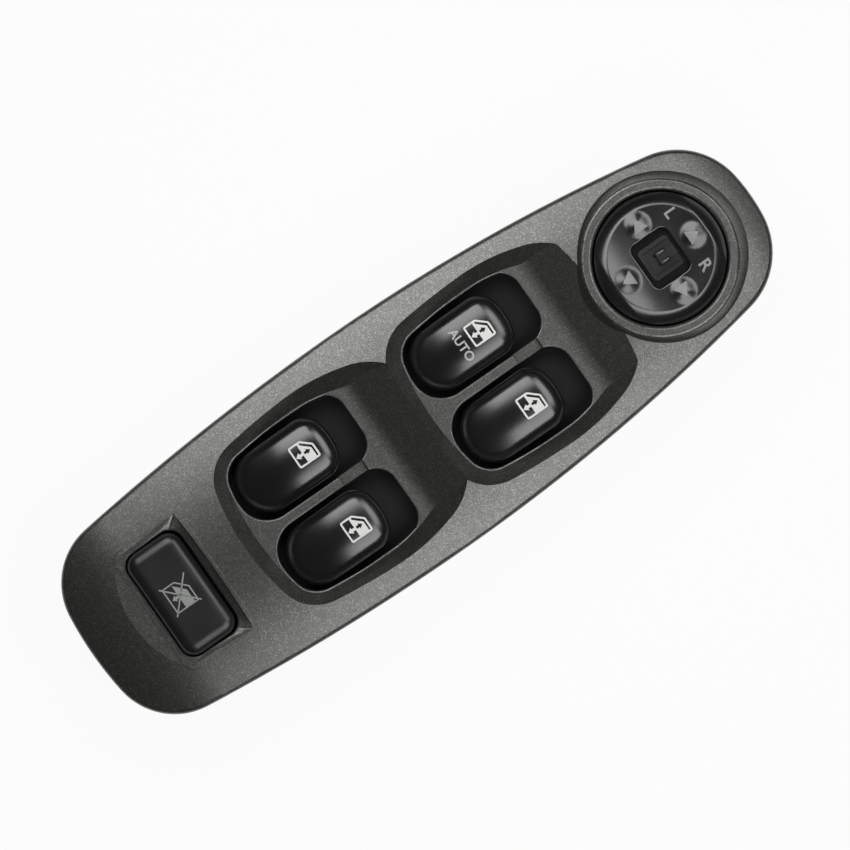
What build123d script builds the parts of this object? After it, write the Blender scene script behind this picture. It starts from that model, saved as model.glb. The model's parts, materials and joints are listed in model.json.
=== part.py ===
from build123d import *
from math import asin, cos, degrees, radians, sin, tan
import os

# Power window switch of a driver's door
# X runs along the panel towards the mirror dial, Y to the left, Z up; lengths are in millimetres

os.makedirs("parts", exist_ok=True)

# Panel outline, seen from above
panel_length = 241.2
panel_width = 75.6
widest_x = -9.0
rear_corner_setback = 4.2
rear_corner_drop = 7.6
rear_corner_radius = 21.5
front_corner_setback = 5.4
front_corner_drop = 13.1
front_corner_radius = 23.4

# Panel section
rim_z = 26.0
crown_z = 38.0
panel_wall = 2.2
rim_roll = 1.6
crown_middle_radius = 1800.0
crown_middle_reach = 95.0
crown_end_radius = 80.0
crown_end_angle = 24.0
crown_cross_radius = 200.0

# Finger pockets
pocket_middle_x = 1.95
pocket_pitch = 63.9
pocket_rear_reach = 30.2
pocket_front_reach = 29.5
pocket_half_width = 26.0
pocket_rear_corner = (-27.0, 23.9)
pocket_front_corner = (27.0, 17.5)
pocket_rear_corner_radius = 9.0
pocket_front_corner_radius = 15.0
pocket_floor_z = 31.0
pocket_floor_tilt = 2.0
pocket_draft = 43.0
pocket_floor_thickness = 2.4
pocket_cut_height = 12.0
ramp_start = 16.2
ramp_radius = 10.0
ramp_lean = 25.0

# Knob openings in the pocket floor
opening_rear = -28.5
opening_front = 14.1
opening_inner_y = 1.65
opening_outer_y = 25.2
opening_rear_radius = 9.5
opening_front_radius = 7.0
opening_margin = 0.65
opening_overrun = 0.5
opening_edge_round = 0.5
web_height = 5.0
web_notch = (0.6, 9.0)
web_notch_depth = 2.4

# Window knobs
knob_rear = -27.0
knob_lip = 5.7
knob_front_side = 3.2
knob_inner_y = 4.2
knob_outer_y = 23.1
knob_inner_radius = 9.2
knob_outer_radius = 9.2
knob_front_radius = 3.2
knob_wall = 1.9
knob_top_front = (2.7, 37.0)
knob_top_middle = (-11.0, 35.9)
knob_top_rear = (-27.0, 32.0)
knob_lip_z = 33.8
knob_undercut = (2.4, 28.4)
knob_skirt_z = 26.2
knob_edge_round = 3.0
pivot_from_rear = 12.0
pivot_z = 25.5
pivot_radius = 1.6
pivot_pin_length = 2.4
running_gap = 0.05
ear_radius = 2.9
ear_thickness = 1.5

# Window module
deck_z = 22.0
deck_thickness = 2.0
housing_wall = 1.6
housing_rear = -103.0
housing_neck = -62.0
housing_slope = 8.0
housing_front = 52.0
housing_half_width = 26.0
housing_neck_half_width = 22.0
housing_corner_radius = 4.0
base_thickness = 2.0
base_lip_height = 3.0
fit_gap = 0.15
tower_half_length = 8.9
tower_half_width = 6.8
tower_wall = 1.2
tower_top_z = 27.2
tower_box_z = 24.2
cheek_half_length = 2.8
pusher_offset = 5.0
pusher_radius = 1.5
pusher_gap = 0.1
sleeve_radius = 2.5
sleeve_height = 1.2
pusher_foot_radius = 2.4
pusher_foot_height = 1.4
pusher_top_gap = 0.3
pusher_round = 1.2
presser_radius = 1.7
presser_z = 25.4
board_z = 12.0
board_thickness = 1.6
board_gap = 0.4
mat_thickness = 0.8
mat_inset = 5.0
dome_height = 2.2
dome_base_radius = 3.4
dome_top_radius = 1.9
dome_wall = 0.6
post_radius = 1.6
housing_post_points = [(-100.0, 0.0), (-74.0, 19.0), (-74.0, -19.0), (2.0, 23.0), (2.0, -23.0), (49.0, 0.0)]
base_post_points = [(-98.0, 15.0), (-98.0, -15.0), (-50.0, 20.0), (-50.0, -20.0), (44.0, 20.0), (44.0, -20.0)]
ear_plate_radius = 3.6
chip_x = 30.0
chip_size = 12.0
chip_height = 1.6

# Connector sockets in the module bases
window_socket_x = -10.0
window_socket_length = 33.0
mirror_socket_length = 14.0
socket_width = 13.0
socket_wall = 1.5
pin_size = 0.64
pin_pitch = 2.5
pin_tip_z = 4.6
pin_gap = 0.08
pin_stub = 1.0
key_slot_length = 5.0
window_pin_count = 11
mirror_pin_count = 4
pin_row_offset = 2.4

# Window lock button
lock_x = -88.2
lock_length = 20.4
lock_width = 36.7
lock_corner_radius = 4.5
lock_top_z = 38.2
lock_rear_flank = 5.4
lock_front_flank = 3.4
lock_shoulder_z = 34.6
lock_skirt_z = 28.0
lock_gap = 0.6
lock_wall = 1.8
lock_floor_z = 34.3
lock_floor_front = -76.6
lock_floor_half_width = 19.3
lock_wall_draft = 60.0
lock_front_draft = 30.0
lock_guide_y = 12.0
lock_guide_radius = 2.4
lock_leg_z = 18.0
lock_plunger_radius = 1.8
lock_edge_round = 1.2
spring_radius = 3.6
spring_wire = 0.8
spring_turns = 5

# Mirror dial and its collar
dial_x = 86.9
dial_hole_radius = 20.4
collar_radius = 23.7
collar_top_z = 38.2
collar_draft = 30.0
collar_foot_z = 29.5
collar_tube_z = 27.0
collar_round = 1.1
dial_radius = 19.8
dial_top_z = 41.0
dial_skirt_z = 33.0
dial_shoulder = 3.0
dial_plate = 2.2
dial_wall = 1.8
arrow_dome_radius = 4.2
arrow_dome_height = 1.1
arrow_dome_circle = 11.9
well_length = 12.6
well_width = 15.1
well_corner_radius = 2.1
gimbal_z = 34.0
gimbal_pin_radius = 1.2
gimbal_inner_radius = 9.7
gimbal_outer_radius = 12.0
gimbal_height = 4.0
lug_inner_y = 12.5
lug_outer_y = 14.6
lug_width = 5.0

# Mirror selector
selector_length = 10.5
selector_width = 10.4
selector_top_z = 39.6
selector_seat_z = 36.9
selector_corner_radius = 1.4
selector_rim = 1.2
selector_pocket_depth = 1.5
selector_tongue_width = 3.4
selector_travel = 1.7
stem_length = 5.0
stem_width = 4.0
stem_foot_z = 15.6
stem_foot_width = 6.0
stem_foot_height = 2.0
tongue_length = 6.1
barb_gap = 0.2
barb_reach = 0.5
barb_height = 2.0
contact_gap = 0.05
contact_metal = 0.3
contact_width = 1.4
contact_seat_y = 1.2
contact_pad_y = 2.8
contact_tip_y = 3.6

# Mirror module
mirror_deck_z = 26.0
mirror_outer_radius = 22.6
mirror_wall = 1.6
mirror_tower_radius = 9.0
mirror_pusher_circle = 15.9
mirror_pusher_top_z = 31.8
mirror_shelf_radius = 19.9
mirror_sleeve_height = 2.5
mirror_tower_wall = 2.0
mirror_post_circle = 17.0
mirror_mat_inner_radius = 9.5
presser_low_z = 32.1
tower_plate = 2.2
slot_gap = 0.2

# Fasteners and fixing points
boss_radius = 3.2
screw_hole_radius = 1.2
screw_clear_radius = 1.7
screw_shank_radius = 1.15
screw_head_radius = 2.8
screw_head_height = 1.8
screw_depth = 7.0
screw_head_round = 0.6
screw_slot_length = 3.2
screw_slot_width = 0.8
screw_slot_depth = 1.1
window_boss_points = [(-62.0, 29.9), (-62.0, -29.9), (2.0, 30.4), (2.0, -30.4), (44.0, 29.3), (44.0, -29.3)]
rear_boss_x = -107.5
mirror_boss_circle = 27.6
mirror_boss_angles = [0, 115, -115]
door_boss_x = (-84.0, 66.0)
door_boss_y = 27.0
door_boss_z = 24.0
clip_x = (-30.0, 30.0)
clip_tab_y = 32.0
clip_tab_thickness = 2.0
clip_tab_width = 9.0
clip_tab_z = 15.0
clip_width = 7.0
clip_metal = 0.5
clip_reach = 35.5
clip_shoulder_z = 18.5
clip_top_z = 21.0


# Shared outlines


def near_x(x):
    """Chooser for the corners of an outline that lie at this x, away from the centre line."""
    return lambda corner: abs(corner.X - x) < 0.01 and abs(corner.Y) > 1


def panel_outline(shrink=0.0):
    """Long oval of the panel, or of its inside: side arcs and end arcs with rounded corners."""
    half_length = panel_length / 2 - shrink
    half_width = panel_width / 2 - shrink
    rear_corner = (-half_length + rear_corner_setback, half_width - rear_corner_drop)
    front_corner = (half_length - front_corner_setback, half_width - front_corner_drop)
    with BuildSketch(mode=Mode.PRIVATE) as outline:
        with BuildLine():
            TangentArc((widest_x, half_width), rear_corner, tangent=(-1, 0))
            TangentArc((widest_x, half_width), front_corner, tangent=(1, 0))
            TangentArc((-half_length, 0), rear_corner, tangent=(0, 1))
            TangentArc((half_length, 0), front_corner, tangent=(0, 1))
            mirror(about=Plane.XZ)
        make_face()
        fillet(outline.vertices().filter_by(near_x(rear_corner[0])), rear_corner_radius - shrink)
        fillet(outline.vertices().filter_by(near_x(front_corner[0])), front_corner_radius - shrink)
    return outline.sketch


def pocket_outline(spread=0.0):
    """Outline of a pocket's floor about its centre, grown by spread."""
    rear_corner = (pocket_rear_corner[0] - spread, pocket_rear_corner[1] + spread)
    front_corner = (pocket_front_corner[0] + spread, pocket_front_corner[1] + spread)
    with BuildSketch(mode=Mode.PRIVATE) as outline:
        with BuildLine():
            TangentArc((0, pocket_half_width + spread), rear_corner, tangent=(-1, 0))
            TangentArc((0, pocket_half_width + spread), front_corner, tangent=(1, 0))
            TangentArc((-pocket_rear_reach - spread, 0), rear_corner, tangent=(0, 1))
            TangentArc((pocket_front_reach + spread, 0), front_corner, tangent=(0, 1))
            mirror(about=Plane.XZ)
        make_face()
        fillet(outline.vertices().filter_by(near_x(rear_corner[0])), pocket_rear_corner_radius + spread)
        fillet(outline.vertices().filter_by(near_x(front_corner[0])), pocket_front_corner_radius + spread)
    return outline.sketch


def opening_outline(side):
    """Outline of one knob opening about the pocket's centre."""
    middle = ((opening_rear + opening_front) / 2, side * (opening_inner_y + opening_outer_y) / 2)
    with BuildSketch(mode=Mode.PRIVATE) as outline:
        with Locations(middle):
            Rectangle(opening_front - opening_rear, opening_outer_y - opening_inner_y)
        fillet(outline.vertices().sort_by(Axis.X)[:2], opening_rear_radius)
        fillet(outline.vertices().sort_by(Axis.X)[-2:], opening_front_radius)
        add(pocket_outline(-opening_margin), mode=Mode.INTERSECT)
    return outline.sketch


def knob_outline(side, shrink=0.0):
    """Outline of a knob about the pocket's centre: round at the rear, bowed at the front."""
    inner = side * knob_inner_y
    outer = side * knob_outer_y
    with BuildSketch(mode=Mode.PRIVATE) as outline:
        with BuildLine():
            sides = Polyline(
                (knob_front_side, inner), (knob_rear, inner), (knob_rear, outer), (knob_front_side, outer)
            )
            ThreePointArc(sides @ 1, (knob_lip, (inner + outer) / 2), sides @ 0)
        make_face()
        rear_corners = outline.vertices().sort_by(Axis.X)[:2].sort_by(lambda corner: abs(corner.Y))
        fillet(rear_corners[0], knob_inner_radius)
        outer_corners = outline.vertices().filter_by(lambda corner: abs(corner.Y - outer) < 0.01)
        fillet(outer_corners.sort_by(Axis.X)[0], knob_outer_radius)
        fillet(outline.vertices().filter_by(near_x(knob_front_side)), knob_front_radius)
        if shrink:
            offset(amount=-shrink)
    return outline.sketch


def housing_outline(shrink=0.0):
    """Footprint of the window module: a wide part under the knobs and a neck under the lock button."""
    with BuildSketch(mode=Mode.PRIVATE) as outline:
        with BuildLine():
            Polyline(
                (housing_rear, 0),
                (housing_rear, housing_neck_half_width),
                (housing_neck - housing_slope, housing_neck_half_width),
                (housing_neck, housing_half_width),
                (housing_front, housing_half_width),
                (housing_front, 0),
            )
            mirror(about=Plane.XZ)
        make_face()
        fillet(outline.vertices().filter_by(lambda corner: abs(corner.Y) > 1), housing_corner_radius)
        if shrink:
            offset(amount=-shrink)
    return outline.sketch


def side_plane(y=0.0):
    """Plane seen from the side: its x runs along the panel and its y runs up."""
    return Plane(origin=(0, y, 0), x_dir=(1, 0, 0), z_dir=(0, -1, 0))


def level(z, x=0.0, y=0.0):
    """Level plane at height z."""
    return Plane(origin=(x, y, z), x_dir=(1, 0, 0), z_dir=(0, 0, 1))


# Shared volumes


def crown_block(depth=0.0):
    """Everything below the domed top of the panel, the dome lowered by depth."""
    half_span = panel_width / 2 + 6
    edge_drop = crown_cross_radius - (crown_cross_radius**2 - half_span**2) ** 0.5
    middle_angle = degrees(asin(crown_middle_reach / crown_middle_radius))
    with BuildPart(mode=Mode.PRIVATE) as block:
        with BuildLine(Plane.XZ) as path:
            middle = JernArc((0, crown_z), (1, 0), crown_middle_radius, -middle_angle)
            end = JernArc(middle @ 1, middle % 1, crown_end_radius, -crown_end_angle)
            mirror(about=Plane.YZ)
        rear_end = Vector(-(end @ 1).X, 0, (end @ 1).Z)
        rear_heading = Vector((end % 1).X, 0, -(end % 1).Z)
        with BuildSketch(Plane(origin=rear_end, x_dir=(0, 1, 0), z_dir=rear_heading)):
            with BuildLine():
                edge = -edge_drop - depth
                ThreePointArc((-half_span, edge), (0, -depth), (half_span, edge))
                Polyline((half_span, edge), (half_span, -crown_z), (-half_span, -crown_z), (-half_span, edge))
            make_face()
        sweep(path=path.line)
    return block.part


def pocket_cutter(pocket_x):
    """Volume of one finger pocket: a leaning floor, drafted walls and a ramp at the front."""
    tilt = radians(pocket_floor_tilt)
    along = (cos(tilt), 0, -sin(tilt))
    floor = Plane(origin=(pocket_x, 0, pocket_floor_z), x_dir=along, z_dir=(sin(tilt), 0, cos(tilt)))
    ramp_foot = (pocket_x + ramp_start, pocket_floor_z - ramp_start * tan(tilt))
    with BuildPart(mode=Mode.PRIVATE) as cutter:
        with BuildSketch(floor):
            add(pocket_outline())
        with BuildSketch(floor.offset(pocket_cut_height)):
            add(pocket_outline(pocket_cut_height * draft_slope))
        loft(ruled=True)
        with BuildSketch(Plane.XZ):
            with BuildLine():
                ramp = JernArc(ramp_foot, (cos(tilt), -sin(tilt)), ramp_radius, ramp_lean + pocket_floor_tilt)
                bend = ramp @ 1
                top = crown_z + 1
                top_x = bend.X + (top - bend.Y) / tan(radians(ramp_lean))
                far = pocket_x + pocket_pitch
                below = pocket_floor_z - pocket_floor_thickness
                Polyline(bend, (top_x, top), (far, top), (far, below), (ramp_foot[0], below), ramp @ 0)
            make_face()
        extrude(amount=panel_width, both=True, mode=Mode.SUBTRACT)
    return cutter.part


def floor_edges(faces, middle_x):
    """Edges of the knob openings that lie in the leaning floor of the pocket about middle_x."""
    rear = middle_x + opening_rear - 0.5
    front = middle_x + opening_front + 0.5
    lean = tan(radians(pocket_floor_tilt))
    chosen = []
    for face in faces:
        middle = face.center()
        upright = abs(face.normal_at().Z) < 0.01 and middle.Z > deck_z + 5
        if upright and rear < middle.X < front and abs(middle.Y) < opening_outer_y + 0.1:
            for edge in face.edges():
                points = [edge @ 0, edge @ 0.5, edge @ 1]
                if all(abs(point.Z - pocket_floor_z + (point.X - middle_x) * lean) < 0.01 for point in points):
                    chosen.append(edge)
    return chosen


def panel_block():
    """The panel as a solid down to the tips of its fixing tabs, its top edge rolled over."""
    with BuildPart(mode=Mode.PRIVATE) as block:
        with BuildSketch(level(clip_tab_z)):
            add(panel_outline())
        extrude(amount=crown_z)
        add(crown_block(), mode=Mode.INTERSECT)
        side_faces = block.faces().filter_by(lambda face: abs(face.normal_at().Z) < 0.01)
        rolled = [edge for face in side_faces for edge in face.edges() if edge.center().Z > rim_z + 1]
        rolled = [edge for edge in rolled if abs(edge.tangent_at(0.5).Z) < 0.9]
        fillet(rolled, rim_roll)
    return block.part


def panel_void():
    """The space inside the panel's wall and all that lies below its rim."""
    with BuildPart(mode=Mode.PRIVATE) as void:
        with BuildSketch(level(clip_tab_z - 1)):
            add(panel_outline(panel_wall))
        extrude(amount=crown_z)
        add(crown_block(panel_wall), mode=Mode.INTERSECT)
        with BuildSketch(level(clip_tab_z - 1)):
            Rectangle(1.2 * panel_length, 1.2 * panel_width)
        extrude(amount=rim_z - clip_tab_z + 1)
    return void.part


def lock_recess(spread=0.0, drop=0.0):
    """Shallow level-floored recess of the lock button, its walls leaning outwards."""
    top = crown_z + 2
    floor = lock_floor_z - drop
    side_lean = (top - floor) * tan(radians(lock_wall_draft))
    front_lean = (top - floor) * tan(radians(lock_front_draft))
    rear = -panel_length / 2 + panel_wall + 6
    front = lock_floor_front + spread
    half = lock_floor_half_width + spread
    with BuildPart(mode=Mode.PRIVATE) as recess:
        with BuildSketch(Plane.XZ):
            with BuildLine():
                Polyline((rear, floor), (front, floor), (front + front_lean, top), (rear, top), close=True)
            make_face()
        extrude(amount=panel_width, both=True)
        with BuildSketch(Plane.YZ):
            with BuildLine():
                wide = half + side_lean
                Polyline((-half, floor), (half, floor), (wide, top), (-wide, top), close=True)
            make_face()
        extrude(amount=panel_length, both=True, mode=Mode.INTERSECT)
    return recess.part


# Places worked out from the sizes above

pocket_x = {"rear": pocket_middle_x - pocket_pitch / 2, "front": pocket_middle_x + pocket_pitch / 2}
sides = {"left": 1, "right": -1}
windows = [(f"{end}_{hand}", pocket_x[end], sides[hand]) for end in pocket_x for hand in sides]
knob_middle_y = (knob_inner_y + knob_outer_y) / 2
draft_slope = tan(radians(pocket_draft))
tub_spread = panel_wall / cos(radians(pocket_draft)) - pocket_floor_thickness * draft_slope
tub_z = pocket_floor_z - pocket_floor_thickness
board_top = board_z + board_thickness
dome_base_z = board_top + mat_thickness
dome_top_z = dome_base_z + dome_height
pusher_points = []
for name, middle_x, side in windows:
    for reach in (-pusher_offset, pusher_offset):
        pusher_points.append((middle_x + knob_rear + pivot_from_rear + reach, side * knob_middle_y))
mirror_boss_points = [
    (dial_x + mirror_boss_circle * cos(radians(angle)), mirror_boss_circle * sin(radians(angle)))
    for angle in mirror_boss_angles
]
module_boss_points = window_boss_points + [(rear_boss_x, 0.0)] + mirror_boss_points
door_boss_points = [(x, side * door_boss_y) for x in door_boss_x for side in (1, -1)]
mirror_directions = {"front": (1, 0), "rear": (-1, 0), "left": (0, 1), "right": (0, -1)}
mirror_pusher_points = {
    name: (dial_x + mirror_pusher_circle * x, mirror_pusher_circle * y)
    for name, (x, y) in mirror_directions.items()
}


# Bezel: the domed panel with its pockets, lock recess and mirror collar

with BuildPart() as collar:
    with BuildSketch(side_plane()):
        with BuildLine():
            flare = (collar_top_z - collar_foot_z) * tan(radians(collar_draft))
            Polyline(
                (dial_x + dial_hole_radius, collar_foot_z),
                (dial_x + dial_hole_radius, collar_top_z),
                (dial_x + collar_radius, collar_top_z),
                (dial_x + collar_radius + flare, collar_foot_z),
                close=True,
            )
        make_face()
    revolve(axis=Axis((dial_x, 0, 0), (0, 0, 1)))
    fillet(collar.edges().group_by(Axis.Z)[-1], collar_round)
    add(crown_block(panel_wall / 2), mode=Mode.SUBTRACT)

with BuildPart() as collar_shape:
    with BuildSketch(side_plane()):
        with BuildLine():
            Polyline(
                (dial_x, collar_foot_z),
                (dial_x, collar_top_z),
                (dial_x + collar_radius, collar_top_z),
                (dial_x + collar_radius + flare, collar_foot_z),
                close=True,
            )
        make_face()
    revolve(axis=Axis((dial_x, 0, 0), (0, 0, 1)))

with BuildPart() as pockets:
    for middle_x in pocket_x.values():
        add(pocket_cutter(middle_x))
    add(collar_shape.part, mode=Mode.SUBTRACT)

with BuildPart() as understructure:
    for middle_x in pocket_x.values():
        with BuildSketch(level(tub_z, middle_x)):
            add(pocket_outline(tub_spread))
        with BuildSketch(level(tub_z + pocket_cut_height, middle_x)):
            add(pocket_outline(tub_spread + pocket_cut_height * draft_slope))
        loft(ruled=True)
        with BuildSketch(level(pocket_floor_z - web_height, middle_x)):
            with Locations(((opening_rear + opening_front) / 2, 0)):
                Rectangle(opening_front - opening_rear + 2, 2 * opening_inner_y)
        extrude(amount=web_height)
    add(lock_recess(panel_wall, panel_wall))
    with BuildSketch(level(collar_tube_z, dial_x)):
        Circle(dial_hole_radius + panel_wall)
    extrude(amount=crown_z - collar_tube_z)
    with BuildSketch(level(deck_z)):
        with Locations(module_boss_points):
            Circle(boss_radius)
    extrude(amount=crown_z - deck_z)
    with BuildSketch(level(door_boss_z)):
        with Locations(door_boss_points):
            Circle(boss_radius)
    extrude(amount=crown_z - door_boss_z)
    with BuildSketch(level(clip_tab_z)):
        with Locations([(x, side * clip_tab_y) for x in clip_x for side in (1, -1)]):
            Rectangle(clip_tab_width, clip_tab_thickness)
    extrude(amount=crown_z - clip_tab_z)

with BuildPart() as void:
    add(panel_void())
    add(understructure.part, mode=Mode.SUBTRACT)

with BuildPart() as bezel:
    add(panel_block())
    add(void.part, mode=Mode.SUBTRACT)
    add(collar.part)
    add(pockets.part, mode=Mode.SUBTRACT)
    for name, middle_x, side in windows:
        with BuildSketch(level(deck_z, middle_x)):
            add(opening_outline(side))
        extrude(amount=crown_z - deck_z, mode=Mode.SUBTRACT)
    with BuildSketch(Plane.XZ):
        for middle_x in pocket_x.values():
            with Locations((middle_x + sum(web_notch) / 2, pocket_floor_z)):
                Rectangle(web_notch[1] - web_notch[0], 2 * web_notch_depth)
    extrude(amount=opening_inner_y + opening_overrun, both=True, mode=Mode.SUBTRACT)
    for middle_x in pocket_x.values():
        fillet(floor_edges(bezel.faces(), middle_x), opening_edge_round)
    add(lock_recess(), mode=Mode.SUBTRACT)
    with BuildSketch(level(deck_z, lock_x)):
        RectangleRounded(lock_length + 2 * lock_gap, lock_width + 2 * lock_gap, lock_corner_radius + lock_gap)
    extrude(amount=crown_z - deck_z, mode=Mode.SUBTRACT)
    with BuildSketch(level(deck_z, dial_x)):
        Circle(dial_hole_radius)
    extrude(amount=crown_z - deck_z, mode=Mode.SUBTRACT)
    with BuildSketch(level(deck_z)):
        with Locations(module_boss_points):
            Circle(screw_hole_radius)
    extrude(amount=screw_depth + 0.5, mode=Mode.SUBTRACT)
    with BuildSketch(level(door_boss_z)):
        with Locations(door_boss_points):
            Circle(screw_hole_radius)
    extrude(amount=screw_depth, mode=Mode.SUBTRACT)

bezel.part.label = "bezel"
export_step(bezel.part, "parts/bezel.step")


# Window knobs: hollow caps that rock on the towers' pins


def knob_profile(middle_x):
    """Side view of a knob: stepped rear, arched top, sloping front face and an undercut finger lip."""
    rear = middle_x + knob_rear
    with BuildSketch(side_plane(), mode=Mode.PRIVATE) as profile:
        with BuildLine():
            top_rear, top_middle, top_front = (
                (middle_x + x, z) for x, z in (knob_top_rear, knob_top_middle, knob_top_front)
            )
            ThreePointArc(top_rear, top_middle, top_front)
            Polyline(
                top_front,
                (middle_x + knob_lip + 0.3, knob_lip_z),
                (middle_x + knob_lip + 0.3, knob_lip_z - 1),
                (middle_x + knob_undercut[0], knob_undercut[1]),
                (middle_x + knob_undercut[0], knob_skirt_z),
                (rear, knob_skirt_z),
                top_rear,
            )
        make_face()
    return profile.sketch


def knob_arch(middle_x):
    """Side view of a knob before its front is cut back: the arch of its top, carried past its lip."""
    rear = middle_x + knob_rear
    arch_points = [(middle_x + x, z) for x, z in (knob_top_rear, knob_top_middle, knob_top_front)]
    with BuildSketch(side_plane(), mode=Mode.PRIVATE) as arch:
        with BuildLine():
            top = ThreePointArc(*arch_points)
            past = TangentArc(top @ 1, Vector(middle_x + 2 * knob_lip, knob_top_front[1], 0), tangent=top % 1)
            Polyline(past @ 1, (middle_x + 2 * knob_lip, knob_skirt_z), (rear, knob_skirt_z), top @ 0)
        make_face()
    return arch.sketch


for window, middle_x, side in windows:
    pivot_x = middle_x + knob_rear + pivot_from_rear
    low_y, high_y = sorted((side * knob_inner_y, side * knob_outer_y))
    with BuildPart() as knob_cavity:
        with BuildSketch(level(pivot_z, middle_x)):
            add(knob_outline(side, knob_wall))
        extrude(amount=crown_z - pivot_z)
        with BuildSketch(side_plane()):
            add(knob_profile(middle_x))
            offset(amount=-knob_wall)
            with Locations((pivot_x, knob_skirt_z)):
                Rectangle(2 * (pivot_from_rear - knob_wall), 2 * knob_wall + 1)
            with Locations((middle_x + (knob_rear + knob_undercut[0]) / 2, knob_skirt_z)):
                Rectangle(knob_undercut[0] - knob_rear - 2 * knob_wall, 2 * knob_wall + 1)
        extrude(amount=panel_width, both=True, mode=Mode.INTERSECT)
        with BuildSketch(level(presser_z)):
            presser_x = (pivot_x - pusher_offset, pivot_x + pusher_offset)
            with Locations([(x, side * knob_middle_y) for x in presser_x]):
                Circle(presser_radius)
        extrude(amount=crown_z - presser_z, mode=Mode.SUBTRACT)
    with BuildPart() as knob:
        with BuildSketch(level(knob_skirt_z, middle_x)):
            add(knob_outline(side))
        extrude(amount=crown_z - knob_skirt_z)
        with BuildSketch(side_plane()):
            add(knob_arch(middle_x))
        extrude(amount=panel_width, both=True, mode=Mode.INTERSECT)
        crest = knob.faces().filter_by(GeomType.CYLINDER).filter_by(lambda face: face.normal_at().Z > 0.9)
        crest_edges = crest.sort_by(SortBy.AREA)[-1].edges()
        fillet(crest_edges, knob_edge_round)
        with BuildSketch(side_plane()):
            add(knob_profile(middle_x))
        extrude(amount=panel_width, both=True, mode=Mode.INTERSECT)
        for wall_y in (low_y + knob_wall, high_y - knob_wall + ear_thickness):
            with BuildSketch(side_plane(wall_y)):
                with Locations((pivot_x, pivot_z)):
                    Circle(ear_radius)
                with Locations((pivot_x, (pivot_z + knob_skirt_z + knob_wall) / 2)):
                    Rectangle(2 * ear_radius, knob_skirt_z + knob_wall - pivot_z)
            extrude(amount=ear_thickness)
        with BuildSketch(side_plane(high_y + 1)):
            with Locations((pivot_x, pivot_z)):
                Circle(pivot_radius + running_gap)
        extrude(amount=high_y - low_y + 2, mode=Mode.SUBTRACT)
        add(knob_cavity.part, mode=Mode.SUBTRACT)
        with BuildSketch(level(presser_z)):
            with Locations([(x, side * knob_middle_y) for x in presser_x]):
                Circle(presser_radius)
        extrude(amount=knob_skirt_z - presser_z)
    knob.part.label = f"{window}_knob"
    export_step(knob.part, f"parts/{window}_knob.step")


# Window pushers: headed pins between the knobs and the domes

def pusher_pin(x, y, top_z):
    """Headed pin that stands on a dome and ends in a rounded tip."""
    with BuildPart(mode=Mode.PRIVATE) as pin:
        with BuildSketch(level(dome_top_z, x, y)):
            Circle(pusher_radius)
        extrude(amount=top_z - dome_top_z)
        fillet(pin.edges().group_by(Axis.Z)[-1], pusher_round)
        with BuildSketch(level(dome_top_z, x, y)):
            Circle(pusher_foot_radius)
        extrude(amount=pusher_foot_height)
    return pin.part


for number, (x, y) in enumerate(pusher_points):
    window = windows[number // 2][0]
    end = ("rear", "front")[number % 2]
    with BuildPart() as pusher:
        add(pusher_pin(x, y, presser_z - pusher_top_gap))
    pusher.part.label = f"{window}_{end}_pusher"
    export_step(pusher.part, f"parts/{window}_{end}_pusher.step")


# Window housing: carrier with a hinge tower and two sleeves for each knob

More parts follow.
